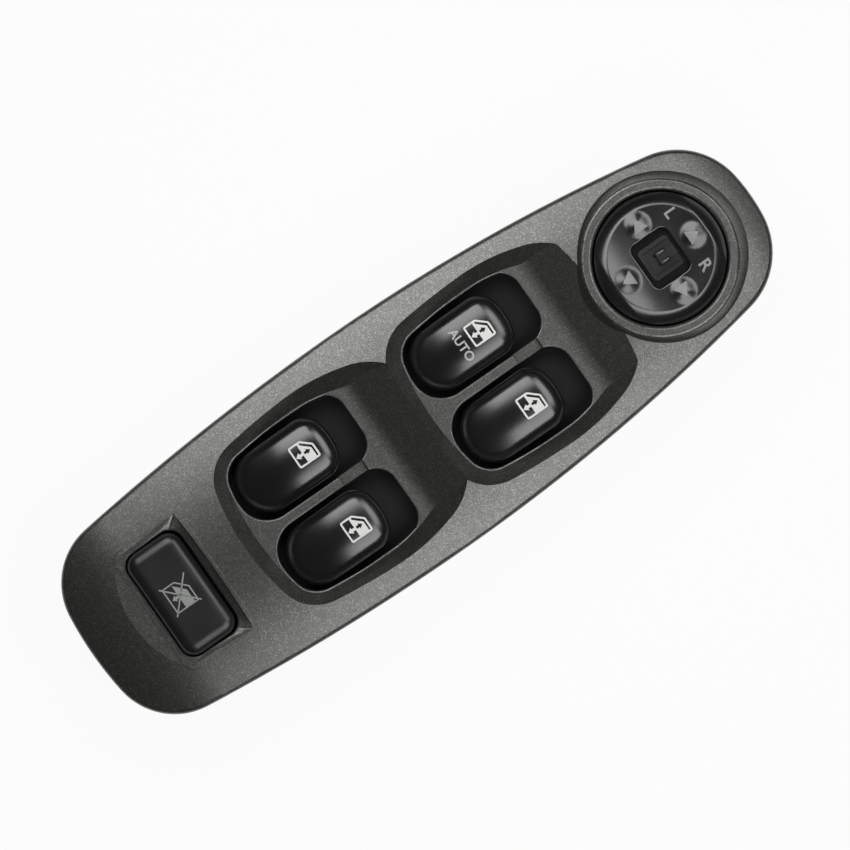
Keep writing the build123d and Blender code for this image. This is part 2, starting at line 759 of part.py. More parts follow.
lock_guide_points = [(lock_x, lock_guide_y), (lock_x, -lock_guide_y)]
with BuildPart() as window_housing:
    with BuildSketch(level(base_thickness)):
        add(housing_outline())
    extrude(amount=deck_z - base_thickness)
    with BuildSketch(level(base_thickness)):
        add(housing_outline(housing_wall))
    extrude(amount=deck_z - deck_thickness - base_thickness, mode=Mode.SUBTRACT)
    with BuildSketch(level(deck_z - deck_thickness)):
        for x, y in window_boss_points:
            reach = abs(y) - housing_neck_half_width
            with Locations((x, (y + (housing_neck_half_width if y > 0 else -housing_neck_half_width)) / 2)):
                Rectangle(2 * ear_plate_radius, reach)
        with Locations(window_boss_points + [(rear_boss_x, 0)]):
            Circle(ear_plate_radius)
        with Locations(((rear_boss_x + housing_rear) / 2 + 1, 0)):
            Rectangle(housing_rear - rear_boss_x + 2, 2 * ear_plate_radius)
    extrude(amount=deck_thickness)
    with BuildSketch(level(deck_z)):
        for window, middle_x, side in windows:
            with Locations((middle_x + knob_rear + pivot_from_rear, side * knob_middle_y)):
                RectangleRounded(2 * tower_half_length, 2 * tower_half_width, 2 * tower_wall)
                inside = (2 * (tower_half_length - tower_wall), 2 * (tower_half_width - tower_wall))
                RectangleRounded(*inside, tower_wall, mode=Mode.SUBTRACT)
    extrude(amount=tower_box_z - deck_z)
    for window, middle_x, side in windows:
        for hand in (1, -1):
            start_y = side * knob_middle_y + hand * (tower_half_width - tower_wall / 2)
            with BuildSketch(level(deck_z)):
                with Locations((middle_x + knob_rear + pivot_from_rear, start_y)):
                    Rectangle(2 * cheek_half_length, tower_wall)
            extrude(amount=tower_top_z - deck_z)
            pivot_x = middle_x + knob_rear + pivot_from_rear
            with BuildSketch(Plane(origin=(pivot_x, start_y, pivot_z), z_dir=(0, hand, 0))):
                Circle(pivot_radius)
            extrude(amount=pivot_pin_length)
    with BuildSketch(level(deck_z - deck_thickness)):
        with Locations(pusher_points):
            Circle(sleeve_radius)
        with Locations(lock_guide_points):
            Circle(lock_guide_radius + sleeve_radius - pusher_radius)
        with Locations((lock_x, 0)):
            Circle(spring_radius - spring_wire)
    extrude(amount=deck_thickness + sleeve_height)
    with BuildSketch(level(board_top)):
        with Locations(housing_post_points):
            Circle(post_radius)
    extrude(amount=deck_z - board_top)
    with BuildSketch(level(base_thickness)):
        with Locations(pusher_points):
            Circle(pusher_radius + pusher_gap)
        with Locations(lock_guide_points):
            Circle(lock_guide_radius + pusher_gap)
        with Locations((lock_x, 0)):
            Circle(lock_plunger_radius + pusher_gap)
    extrude(amount=tower_top_z, mode=Mode.SUBTRACT)
    with BuildSketch(level(base_thickness)):
        with Locations(window_boss_points + [(rear_boss_x, 0)]):
            Circle(screw_clear_radius)
    extrude(amount=deck_z, mode=Mode.SUBTRACT)
window_housing.part.label = "window_housing"
export_step(window_housing.part, "parts/window_housing.step")


# Window base: bottom cover with a locating lip, board posts and the connector shroud

window_socket = (window_socket_x, 0.0)
with BuildPart() as window_base:
    with BuildSketch(level(0)):
        add(housing_outline())
    extrude(amount=base_thickness)
    with BuildSketch(level(base_thickness)):
        add(housing_outline(housing_wall + fit_gap))
        add(housing_outline(housing_wall + fit_gap + socket_wall), mode=Mode.SUBTRACT)
    extrude(amount=base_lip_height)
    with BuildSketch(level(base_thickness)):
        with Locations(base_post_points):
            Circle(post_radius)
        with Locations(window_socket):
            shroud = (window_socket_length + 2 * socket_wall, socket_width + 2 * socket_wall)
            RectangleRounded(*shroud, socket_wall)
    extrude(amount=board_z - base_thickness)
    with BuildSketch(level(0)):
        with Locations(window_socket):
            RectangleRounded(window_socket_length, socket_width, socket_wall / 2)
    extrude(amount=board_z - socket_wall, mode=Mode.SUBTRACT)
    with BuildSketch(level(0)):
        with Locations(window_socket):
            with GridLocations(pin_pitch, 2 * pin_row_offset, window_pin_count, 2):
                Rectangle(pin_size + 2 * pin_gap, pin_size + 2 * pin_gap)
    extrude(amount=board_z, mode=Mode.SUBTRACT)
    with BuildSketch(level(0)):
        with Locations((window_socket_x, (socket_width + socket_wall) / 2)):
            Rectangle(key_slot_length, 2 * socket_wall)
    extrude(amount=board_z - 2 * socket_wall, mode=Mode.SUBTRACT)
window_base.part.label = "window_base"
export_step(window_base.part, "parts/window_base.step")

with BuildPart() as window_circuit_board:
    with BuildSketch(level(board_z)):
        add(housing_outline(housing_wall + board_gap))
        with Locations(window_socket):
            with GridLocations(pin_pitch, 2 * pin_row_offset, window_pin_count, 2):
                Rectangle(pin_size + 2 * pin_gap, pin_size + 2 * pin_gap, mode=Mode.SUBTRACT)
    extrude(amount=board_thickness)
window_circuit_board.part.label = "window_circuit_board"
export_step(window_circuit_board.part, "parts/window_circuit_board.step")

with BuildPart() as window_terminals:
    with BuildSketch(level(pin_tip_z)):
        with Locations(window_socket):
            with GridLocations(pin_pitch, 2 * pin_row_offset, window_pin_count, 2):
                Rectangle(pin_size, pin_size)
    extrude(amount=board_top + pin_stub - pin_tip_z)
window_terminals.part.label = "window_terminals"
export_step(window_terminals.part, "parts/window_terminals.step")

with BuildPart() as window_control_chip:
    with BuildSketch(level(board_z - chip_height)):
        with Locations((chip_x, 0)):
            RectangleRounded(chip_size, chip_size, chip_height / 2)
    extrude(amount=chip_height)
    chamfer(window_control_chip.faces().sort_by(Axis.Z)[0].edges(), chip_height / 4)
window_control_chip.part.label = "window_control_chip"
export_step(window_control_chip.part, "parts/window_control_chip.step")


def dome_mat(sheet, points):
    """Silicone sheet on a board, with a hollow dome at each point."""
    with BuildPart(mode=Mode.PRIVATE) as mat:
        with BuildSketch(level(board_top)):
            add(sheet)
        extrude(amount=mat_thickness)
        for x, y in points:
            with BuildSketch(level(dome_base_z, x, y)):
                Circle(dome_base_radius)
            with BuildSketch(level(dome_top_z, x, y)):
                Circle(dome_top_radius)
            loft(ruled=True)
        for x, y in points:
            with BuildSketch(level(board_top, x, y)):
                Circle(dome_base_radius - dome_wall)
            with BuildSketch(level(dome_top_z - 2 * dome_wall, x, y)):
                Circle(dome_top_radius - dome_wall)
            loft(ruled=True, mode=Mode.SUBTRACT)
    return mat.part


with BuildSketch() as window_sheet:
    add(housing_outline(mat_inset))
    with Locations(window_socket):
        Rectangle(window_socket_length, socket_width, mode=Mode.SUBTRACT)
with BuildPart() as window_dome_mat:
    add(dome_mat(window_sheet.sketch, pusher_points + [(lock_x, 0)]))
window_dome_mat.part.label = "window_dome_mat"
export_step(window_dome_mat.part, "parts/window_dome_mat.step")


# Window lock button: push button with two guide legs, a plunger and a return spring

with BuildPart() as lock_cavity:
    with BuildSketch(level(lock_skirt_z, lock_x)):
        inside = (lock_length - 2 * lock_wall, lock_width - 2 * lock_wall)
        RectangleRounded(*inside, lock_corner_radius - lock_wall)
    extrude(amount=lock_shoulder_z - lock_skirt_z)
    with BuildSketch(level(lock_skirt_z)):
        with Locations((lock_x, 0)):
            Circle(spring_radius + spring_wire + 0.4)
        with Locations(lock_guide_points):
            Circle(lock_guide_radius)
    extrude(amount=lock_shoulder_z - lock_skirt_z, mode=Mode.SUBTRACT)
with BuildPart() as lock_button:
    with BuildSketch(level(lock_skirt_z, lock_x)):
        RectangleRounded(lock_length, lock_width, lock_corner_radius)
    extrude(amount=lock_top_z - lock_skirt_z)
    with BuildSketch(Plane.XZ):
        rear = lock_x - lock_length / 2
        front = lock_x + lock_length / 2
        with BuildLine(Plane.XZ):
            Polyline(
                (rear, lock_shoulder_z),
                (rear, lock_skirt_z),
                (front, lock_skirt_z),
                (front, lock_shoulder_z),
                (front - lock_front_flank, lock_top_z),
                (rear + lock_rear_flank, lock_top_z),
                close=True,
            )
        make_face()
    extrude(amount=panel_width, both=True, mode=Mode.INTERSECT)
    fillet(lock_button.faces().sort_by(Axis.Z)[-1].edges(), lock_edge_round)
    add(lock_cavity.part, mode=Mode.SUBTRACT)
    with BuildSketch(level(dome_top_z, lock_x)):
        Circle(lock_plunger_radius)
    extrude(amount=lock_shoulder_z - dome_top_z)
    with BuildSketch(level(lock_leg_z)):
        with Locations(lock_guide_points):
            Circle(lock_guide_radius)
    extrude(amount=lock_shoulder_z - lock_leg_z)
lock_button.part.label = "lock_button"
export_step(lock_button.part, "parts/lock_button.step")

with BuildPart() as lock_spring:
    spring_height = lock_skirt_z - deck_z - 2 * spring_wire
    spring_foot = (lock_x, 0, deck_z + spring_wire)
    with BuildLine() as coil:
        Helix(spring_height / spring_turns, spring_height, spring_radius, center=spring_foot)
    with BuildSketch(Plane(origin=coil.line @ 0, z_dir=coil.line % 0)):
        Circle(spring_wire / 2)
    sweep()
lock_spring.part.label = "lock_spring"
export_step(lock_spring.part, "parts/lock_spring.step")


# Mirror housing: cup with the selector's guide tower, pusher sleeves, trunnion pins and screw ears

with BuildPart() as mirror_housing:
    with BuildSketch(level(base_thickness, dial_x)):
        Circle(mirror_outer_radius)
    extrude(amount=mirror_deck_z - base_thickness)
    with BuildSketch(level(deck_z - deck_thickness)):
        with Locations(mirror_boss_points):
            Circle(ear_plate_radius)
        for angle, (x, y) in zip(mirror_boss_angles, mirror_boss_points):
            with Locations(((x + dial_x) / 2, y / 2)):
                Rectangle(mirror_boss_circle, 2 * ear_plate_radius, rotation=angle)
    extrude(amount=deck_thickness)
    with BuildSketch(level(base_thickness, dial_x)):
        Circle(mirror_outer_radius - mirror_wall)
    extrude(amount=board_top - base_thickness, mode=Mode.SUBTRACT)
    with BuildSketch(level(board_top, dial_x)):
        Circle(mirror_shelf_radius)
    extrude(amount=mirror_deck_z - deck_thickness - board_top, mode=Mode.SUBTRACT)
    with BuildSketch(level(mirror_deck_z - deck_thickness)):
        with Locations(list(mirror_pusher_points.values())):
            Circle(sleeve_radius)
    extrude(amount=deck_thickness + mirror_sleeve_height)
    with BuildSketch(level(mirror_deck_z - deck_thickness, dial_x)):
        Circle(mirror_tower_radius)
    extrude(amount=selector_seat_z - mirror_deck_z + deck_thickness)
    with BuildSketch(level(mirror_deck_z - deck_thickness, dial_x)):
        Circle(mirror_tower_radius - mirror_tower_wall)
    extrude(amount=selector_seat_z - tower_plate - mirror_deck_z + deck_thickness, mode=Mode.SUBTRACT)
    with BuildSketch(level(mirror_deck_z, dial_x)):
        Rectangle(stem_length + 2 * slot_gap, stem_width + 2 * (selector_travel + slot_gap))
    extrude(amount=selector_seat_z - mirror_deck_z, mode=Mode.SUBTRACT)
    with BuildSketch(level(base_thickness)):
        with Locations(list(mirror_pusher_points.values())):
            Circle(pusher_radius + pusher_gap)
        with Locations(mirror_boss_points):
            Circle(screw_clear_radius)
    extrude(amount=selector_seat_z, mode=Mode.SUBTRACT)
    for hand in (1, -1):
        start_x = dial_x + hand * (mirror_tower_radius - mirror_tower_wall / 2)
        with BuildSketch(Plane(origin=(start_x, 0, gimbal_z), z_dir=(hand, 0, 0))):
            Circle(gimbal_pin_radius)
        extrude(amount=gimbal_outer_radius - mirror_tower_radius + mirror_tower_wall / 2 - 0.1)
mirror_housing.part.label = "mirror_housing"
export_step(mirror_housing.part, "parts/mirror_housing.step")


# Mirror base: round bottom cover with a locating lip, board posts and the connector socket

mirror_socket = (dial_x, 0.0)
with BuildPart() as mirror_base:
    with BuildSketch(level(0, dial_x)):
        Circle(mirror_outer_radius)
    extrude(amount=base_thickness)
    with BuildSketch(level(base_thickness, dial_x)):
        Circle(mirror_outer_radius - mirror_wall - fit_gap)
        Circle(mirror_outer_radius - mirror_wall - fit_gap - socket_wall, mode=Mode.SUBTRACT)
    extrude(amount=base_lip_height)
    with BuildSketch(level(base_thickness, dial_x)):
        with PolarLocations(mirror_post_circle, 4, start_angle=45):
            Circle(post_radius)
        RectangleRounded(mirror_socket_length + 2 * socket_wall, socket_width + 2 * socket_wall, socket_wall)
    extrude(amount=board_z - base_thickness)
    with BuildSketch(level(0, dial_x)):
        RectangleRounded(mirror_socket_length, socket_width, socket_wall / 2)
    extrude(amount=board_z - socket_wall, mode=Mode.SUBTRACT)
    with BuildSketch(level(0, dial_x)):
        with GridLocations(pin_pitch, 2 * pin_row_offset, mirror_pin_count, 2):
            Rectangle(pin_size + 2 * pin_gap, pin_size + 2 * pin_gap)
    extrude(amount=board_z, mode=Mode.SUBTRACT)
    with BuildSketch(level(0)):
        with Locations((dial_x, (socket_width + socket_wall) / 2)):
            Rectangle(key_slot_length, 2 * socket_wall)
    extrude(amount=board_z - 2 * socket_wall, mode=Mode.SUBTRACT)
mirror_base.part.label = "mirror_base"
export_step(mirror_base.part, "parts/mirror_base.step")

with BuildPart() as mirror_circuit_board:
    with BuildSketch(level(board_z, dial_x)):
        Circle(mirror_outer_radius - mirror_wall - board_gap)
        with GridLocations(pin_pitch, 2 * pin_row_offset, mirror_pin_count, 2):
            Rectangle(pin_size + 2 * pin_gap, pin_size + 2 * pin_gap, mode=Mode.SUBTRACT)
    extrude(amount=board_thickness)
mirror_circuit_board.part.label = "mirror_circuit_board"
export_step(mirror_circuit_board.part, "parts/mirror_circuit_board.step")

with BuildPart() as mirror_terminals:
    with BuildSketch(level(pin_tip_z, dial_x)):
        with GridLocations(pin_pitch, 2 * pin_row_offset, mirror_pin_count, 2):
            Rectangle(pin_size, pin_size)
    extrude(amount=board_top + pin_stub - pin_tip_z)
mirror_terminals.part.label = "mirror_terminals"
export_step(mirror_terminals.part, "parts/mirror_terminals.step")

with BuildSketch() as mirror_sheet:
    with Locations(mirror_socket):
        Circle(mirror_shelf_radius - board_gap)
        Circle(mirror_mat_inner_radius, mode=Mode.SUBTRACT)
with BuildPart() as mirror_dome_mat:
    add(dome_mat(mirror_sheet.sketch, list(mirror_pusher_points.values())))
mirror_dome_mat.part.label = "mirror_dome_mat"
export_step(mirror_dome_mat.part, "parts/mirror_dome_mat.step")

for name, (x, y) in mirror_pusher_points.items():
    with BuildPart() as mirror_pusher:
        add(pusher_pin(x, y, mirror_pusher_top_z))
    mirror_pusher.part.label = f"mirror_{name}_pusher"
    export_step(mirror_pusher.part, f"parts/mirror_{name}_pusher.step")


# Mirror dial on its gimbal ring

with BuildPart() as gimbal_ring:
    with BuildSketch(level(gimbal_z - gimbal_height / 2, dial_x)):
        Circle(gimbal_outer_radius)
        Circle(gimbal_inner_radius, mode=Mode.SUBTRACT)
    extrude(amount=gimbal_height)
    for across in ((1, 0, 0), (0, 1, 0)):
        with BuildSketch(Plane(origin=(dial_x, 0, gimbal_z), z_dir=across)):
            Circle(gimbal_pin_radius + running_gap)
        extrude(amount=2 * gimbal_outer_radius, both=True, mode=Mode.SUBTRACT)
gimbal_ring.part.label = "gimbal_ring"
export_step(gimbal_ring.part, "parts/gimbal_ring.step")

with BuildPart() as mirror_dial:
    with BuildSketch(level(dial_skirt_z, dial_x)):
        Circle(dial_radius)
    extrude(amount=dial_top_z - dial_skirt_z)
    fillet(mirror_dial.edges().group_by(Axis.Z)[-1], dial_shoulder)
    with BuildSketch(level(dial_skirt_z, dial_x)):
        Circle(dial_radius - dial_wall)
    extrude(amount=dial_top_z - dial_plate - dial_skirt_z, mode=Mode.SUBTRACT)
    for x, y in mirror_directions.values():
        middle_x = dial_x + arrow_dome_circle * x
        middle_y = arrow_dome_circle * y
        cap_radius = (arrow_dome_radius**2 + arrow_dome_height**2) / (2 * arrow_dome_height)
        with BuildSketch(side_plane(middle_y)):
            with BuildLine():
                Polyline(
                    (middle_x, dial_top_z + arrow_dome_height),
                    (middle_x, dial_top_z - arrow_dome_height),
                    (middle_x + arrow_dome_radius, dial_top_z - arrow_dome_height),
                    (middle_x + arrow_dome_radius, dial_top_z),
                )
                RadiusArc(
                    (middle_x + arrow_dome_radius, dial_top_z),
                    (middle_x, dial_top_z + arrow_dome_height),
                    -cap_radius,
                )
            make_face()
        revolve(axis=Axis((middle_x, middle_y, 0), (0, 0, 1)))
    with BuildSketch(level(dial_top_z - dial_plate, dial_x)):
        RectangleRounded(well_length, well_width, well_corner_radius)
    extrude(amount=dial_plate, mode=Mode.SUBTRACT)
    with BuildSketch(level(presser_low_z)):
        with Locations(list(mirror_pusher_points.values())):
            Circle(presser_radius)
        with Locations([(dial_x, hand * (lug_inner_y + lug_outer_y) / 2) for hand in (1, -1)]):
            Rectangle(lug_width, lug_outer_y - lug_inner_y)
    extrude(amount=dial_top_z - dial_plate - presser_low_z)
    for hand in (1, -1):
        pin_plane = Plane(origin=(dial_x, hand * lug_inner_y, gimbal_z), z_dir=(0, -hand, 0))
        with BuildSketch(pin_plane):
            Circle(gimbal_pin_radius)
        extrude(amount=lug_inner_y - gimbal_inner_radius - 0.3)
mirror_dial.part.label = "mirror_dial"
export_step(mirror_dial.part, "parts/mirror_dial.step")


# Mirror selector: sliding lever with a stem, snap barbs and a sprung contact bridge

with BuildPart() as mirror_selector:
    with BuildSketch(level(selector_seat_z, dial_x)):
        RectangleRounded(selector_length, selector_width, selector_corner_radius)
    extrude(amount=selector_top_z - selector_seat_z)
    with BuildSketch(level(selector_top_z - selector_pocket_depth, dial_x)):
        with Locations((selector_rim, 0)):
            Rectangle(selector_length, selector_width - 2 * selector_rim)
        with Locations((selector_length / 2 - tongue_length / 2, 0)):
            Rectangle(tongue_length, selector_tongue_width, mode=Mode.SUBTRACT)
    extrude(amount=selector_pocket_depth, mode=Mode.SUBTRACT)
    with BuildSketch(level(stem_foot_z, dial_x)):
        Rectangle(stem_length, stem_width)
    extrude(amount=selector_seat_z - stem_foot_z)
    with BuildSketch(level(stem_foot_z, dial_x)):
        Rectangle(stem_length, stem_foot_width)
    extrude(amount=stem_foot_height)
    with BuildSketch(side_plane()):
        for hand in (1, -1):
            with BuildLine():
                face_x = dial_x + hand * stem_length / 2
                barb_top = selector_seat_z - tower_plate - barb_gap
                tip = (face_x + hand * barb_reach, barb_top)
                Polyline((face_x, barb_top), tip, (face_x, barb_top - barb_height), close=True)
            make_face()
    extrude(amount=stem_width / 2, both=True)
mirror_selector.part.label = "mirror_selector"
export_step(mirror_selector.part, "parts/mirror_selector.step")

with BuildPart() as selector_contact:
    with BuildSketch(Plane(origin=(dial_x, 0, 0), x_dir=(0, 1, 0), z_dir=(1, 0, 0))):
        with BuildLine():
            rest = board_top + contact_gap + contact_metal / 2
            seat = stem_foot_z - contact_metal / 2
            tip = rest + contact_metal
            bridge = [(contact_seat_y, seat), (contact_pad_y, rest), (contact_tip_y, tip)]
            Polyline([(-y, z) for y, z in reversed(bridge)] + bridge)
        trace(line_width=contact_metal)
    extrude(amount=contact_width / 2, both=True)
selector_contact.part.label = "selector_contact"
export_step(selector_contact.part, "parts/selector_contact.step")


# Fasteners: identical screws under both modules, and sheet metal clips over the bezel's tabs

with BuildPart() as screw:
    head_z = deck_z - deck_thickness - screw_head_height
    with BuildSketch(level(head_z)):
        Circle(screw_head_radius)
    extrude(amount=screw_head_height)
    fillet(screw.edges().group_by(Axis.Z)[0], screw_head_round)
    with BuildSketch(level(head_z)):
        Rectangle(screw_slot_length, screw_slot_width)
        Rectangle(screw_slot_width, screw_slot_length)
    extrude(amount=screw_slot_depth, mode=Mode.SUBTRACT)
    with BuildSketch(level(head_z + screw_head_height)):
        Circle(screw_shank_radius)
    extrude(amount=deck_thickness + screw_depth)
    chamfer(screw.edges().group_by(Axis.Z)[-1], screw_shank_radius / 2)
with BuildPart() as module_screws:
    with Locations([(x, y, 0) for x, y in module_boss_points]):
        add(screw.part)
module_screws.part.label = "module_screws"
export_step(module_screws.part, "parts/module_screws.step")

with BuildPart() as clip:
    with BuildSketch(Plane.YZ):
        with BuildLine():
            half_metal = clip_metal / 2
            inner_y = clip_tab_y - clip_tab_thickness / 2 - fit_gap - half_metal
            outer_y = clip_tab_y + clip_tab_thickness / 2 + fit_gap + half_metal
            bend_z = clip_tab_z - fit_gap - half_metal
            Polyline(
                (inner_y, clip_top_z),
                (inner_y, bend_z),
                (outer_y, bend_z),
                (clip_reach - half_metal, clip_shoulder_z),
                (outer_y, clip_top_z),
            )
        trace(line_width=clip_metal)
    extrude(amount=clip_width / 2, both=True)
with BuildPart() as panel_clips:
    for x in clip_x:
        with Locations((x, 0, 0)):
            add(clip.part)
        with Locations(Location((x, 0, 0), (0, 0, 180))):
            add(clip.part)
panel_clips.part.label = "panel_clips"
export_step(panel_clips.part, "parts/panel_clips.step")
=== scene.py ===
# %% [markdown]
# # Power window switch: looks
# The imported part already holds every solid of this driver's door switch, in metres: X runs along the
# panel towards the mirror dial, Y to the left and Z up. This lesson gives each solid a material, puts
# softer shells in place of the controls that fingers touch, prints the marks, and sets the floor, the
# lamps and the camera.

import json
from math import hypot, pi, radians

import bmesh
import bpy
import numpy as np
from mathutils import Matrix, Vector
from mathutils.bvhtree import BVHTree
from mathutils.geometry import tessellate_polygon


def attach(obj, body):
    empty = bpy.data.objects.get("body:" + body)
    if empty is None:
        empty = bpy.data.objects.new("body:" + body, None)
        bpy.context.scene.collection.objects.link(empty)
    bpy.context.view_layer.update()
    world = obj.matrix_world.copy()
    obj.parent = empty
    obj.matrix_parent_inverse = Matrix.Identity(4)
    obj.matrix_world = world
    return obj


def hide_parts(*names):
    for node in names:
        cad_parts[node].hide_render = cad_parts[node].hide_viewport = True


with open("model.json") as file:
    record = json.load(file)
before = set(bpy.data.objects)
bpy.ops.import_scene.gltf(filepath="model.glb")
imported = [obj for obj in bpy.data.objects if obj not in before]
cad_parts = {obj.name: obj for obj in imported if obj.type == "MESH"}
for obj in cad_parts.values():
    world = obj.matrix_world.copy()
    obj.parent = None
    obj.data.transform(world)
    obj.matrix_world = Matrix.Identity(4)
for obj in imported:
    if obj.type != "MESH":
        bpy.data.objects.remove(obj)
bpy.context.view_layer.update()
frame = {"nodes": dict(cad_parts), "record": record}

# %% [markdown]
# ## One scale for all that is read from the picture
# The picture shows the panel from straight above, turned by 35 degrees. Turned back, one scale and one
# shift place every mark: u counts pixels along the panel and t counts them down across it. Marks could
# also be dragged into place by eye, but a formula can be checked and gives the same place each time.

# %% Sizes that the marks and the camera share
MM = 0.001
PIXEL = 0.3 * MM
U_OF_X_ZERO, T_OF_Y_ZERO = 10, -0.9
DIAL_X = 86.9 * MM
LOCK_X = -88.2 * MM


def spot(u, t):
    """Place on the part, in metres, of a point u pixels along and t pixels down the turned picture."""
    return (u - U_OF_X_ZERO) * PIXEL, (T_OF_Y_ZERO - t) * PIXEL


print("picture scale", PIXEL)

# %% [markdown]
# ## Shader groups
# An effect that several materials share is built once, as a node group with named inputs, and each
# material sets its own values on it. The alternative, copying the nodes into every material, would mean
# mending each copy. The helpers below make a group, feed a socket with a number or another socket, and
# add the three kinds of node that the effects need.

# %% Group and node helpers
FLOAT, COLOR, VECTOR = "NodeSocketFloat", "NodeSocketColor", "NodeSocketVector"


def new_group(name, inputs, outputs):
    """Shader group with the given float, colour and vector sockets."""
    group = bpy.data.node_groups.new(name, "ShaderNodeTree")
    for socket, kind, default in inputs:
        made = group.interface.new_socket(socket, in_out="INPUT", socket_type=kind)
        if default is not None:
            made.default_value = default
    for socket, kind in outputs:
        group.interface.new_socket(socket, in_out="OUTPUT", socket_type=kind)
    return group, group.nodes.new("NodeGroupInput"), group.nodes.new("NodeGroupOutput")


def feed(tree, value, socket):
    """Sets a socket to a number, or links another socket to it."""
    if isinstance(value, (int, float)):
        socket.default_value = value
    else:
        tree.links.new(value, socket)


def math_node(tree, operation, first, second):
    """Math node on two values, each a socket or a number."""
    node = tree.nodes.new("ShaderNodeMath")
    node.operation = operation
    feed(tree, first, node.inputs[0])
    feed(tree, second, node.inputs[1])
    return node.outputs[0]


def ramp_node(tree, factor, stops):
    """Grey ramp through (place, level) stops."""
    node = tree.nodes.new("ShaderNodeValToRGB")
    elements = node.color_ramp.elements
    while len(elements) < len(stops):
        elements.new(0.5)
    for element, (place, level) in zip(elements, stops):
        element.position = place
        element.color = (level, level, level, 1)
    tree.links.new(factor, node.inputs[0])
    return node.outputs[0]


def noise_node(tree, vector, scale, detail):
    """Noise value at a scale per metre."""
    node = tree.nodes.new("ShaderNodeTexNoise")
    node.inputs["Detail"].default_value = detail
    feed(tree, scale, node.inputs["Scale"])
    tree.links.new(vector, node.inputs["Vector"])
    return node.outputs["Fac"]


print("sockets", FLOAT, COLOR, VECTOR)

# %% [markdown]
# ## Paint with fine metal flakes
# The panel is sprayed dark grey with tiny flakes, each of which lies at its own angle and so has its own
# brightness. A noise texture would give soft clouds. Voronoi cells of a fifth of a millimetre give small
# plates with one random tone each. A ramp keeps most plates dark and a few bright, and a slow cloud
# varies how many show. A second random value per plate goes out as height and tilts it a little.

# %% Flake paint group
FLAKE_TONES = [(0.0, 0.0), (0.55, 0.12), (0.86, 0.4), (1.0, 1.0)]
CLOUD_SCALE, CLOUD_DETAIL, CLOUD_LIFT = 420.0, 3.0, 0.45

flakes, flakes_in, flakes_out = new_group(
    "flake_paint",
    [
        ("Vector", VECTOR, None), ("Base", COLOR, (0.1, 0.1, 0.1, 1)), ("Flake", COLOR, (0.4, 0.4, 0.4, 1)),
        ("Scale", FLOAT, 2600.0),
    ],
    [("Color", COLOR), ("Height", FLOAT)],
)
plates = flakes.nodes.new("ShaderNodeTexVoronoi")
flakes.links.new(flakes_in.outputs["Vector"], plates.inputs["Vector"])
flakes.links.new(flakes_in.outputs["Scale"], plates.inputs["Scale"])
tone = flakes.nodes.new("ShaderNodeSeparateColor")
flakes.links.new(plates.outputs["Color"], tone.inputs[0])
shine = ramp_node(flakes, tone.outputs[0], FLAKE_TONES)
cloud = noise_node(flakes, flakes_in.outputs["Vector"], CLOUD_SCALE, CLOUD_DETAIL)
patchy = math_node(flakes, "MULTIPLY", shine, math_node(flakes, "ADD", cloud, CLOUD_LIFT))
paint_mix = flakes.nodes.new("ShaderNodeMix")
paint_mix.data_type = "RGBA"
flakes.links.new(patchy, paint_mix.inputs["Factor"])
flakes.links.new(flakes_in.outputs["Base"], paint_mix.inputs["A"])
flakes.links.new(flakes_in.outputs["Flake"], paint_mix.inputs["B"])
flakes.links.new(paint_mix.outputs["Result"], flakes_out.inputs["Color"])
flakes.links.new(tone.outputs[1], flakes_out.inputs["Height"])
print("group", flakes.name)

# %% [markdown]
# ## Moulded grain
# The knobs, carriers, boards and even the metal parts come out of a mould or a press with a fine grain
# and slow changes of tone and gloss. One group serves them all: a fine noise goes out as height, and a
# slow one shifts the colour's value and the roughness together, as polish and wear do.

# %% Moulded grain group
GRAIN_DETAIL = 4.0
FLOW_SCALE, FLOW_DETAIL = 60.0, 3.0
ROUGH_SHARE = 0.6

moulded, moulded_in, moulded_out = new_group(
    "moulded_grain",
    [
        ("Vector", VECTOR, None), ("Color", COLOR, (0.03, 0.03, 0.03, 1)), ("Change", FLOAT, 0.25),
        ("Roughness", FLOAT, 0.4), ("Scale", FLOAT, 1500.0),
    ],
    [("Color", COLOR), ("Roughness", FLOAT), ("Height", FLOAT)],
)
grain = noise_node(moulded, moulded_in.outputs["Vector"], moulded_in.outputs["Scale"], GRAIN_DETAIL)
flow = noise_node(moulded, moulded_in.outputs["Vector"], FLOW_SCALE, FLOW_DETAIL)
centred = math_node(moulded, "SUBTRACT", flow, 0.5)
change = math_node(moulded, "MULTIPLY", centred, moulded_in.outputs["Change"])
tint = moulded.nodes.new("ShaderNodeHueSaturation")
moulded.links.new(math_node(moulded, "ADD", change, 1.0), tint.inputs["Value"])
moulded.links.new(moulded_in.outputs["Color"], tint.inputs["Color"])
moulded.links.new(tint.outputs["Color"], moulded_out.inputs["Color"])
wear = math_node(moulded, "MULTIPLY", change, ROUGH_SHARE)
rough = math_node(moulded, "ADD", moulded_in.outputs["Roughness"], wear)
moulded.links.new(rough, moulded_out.inputs["Roughness"])
moulded.links.new(grain, moulded_out.inputs["Height"])
print("group", moulded.name)

# %% [markdown]
# ## Materials
# A material is one Principled shader, one group on the object's own coordinates, and a Bump node for the
# group's height. What is the same all over a surface, such as metallic or specular level, is set on the
# shader's own socket. Object coordinates keep a pattern in place on a piece that moves.

# %% Material makers
BUMP_DEPTH = 0.0002


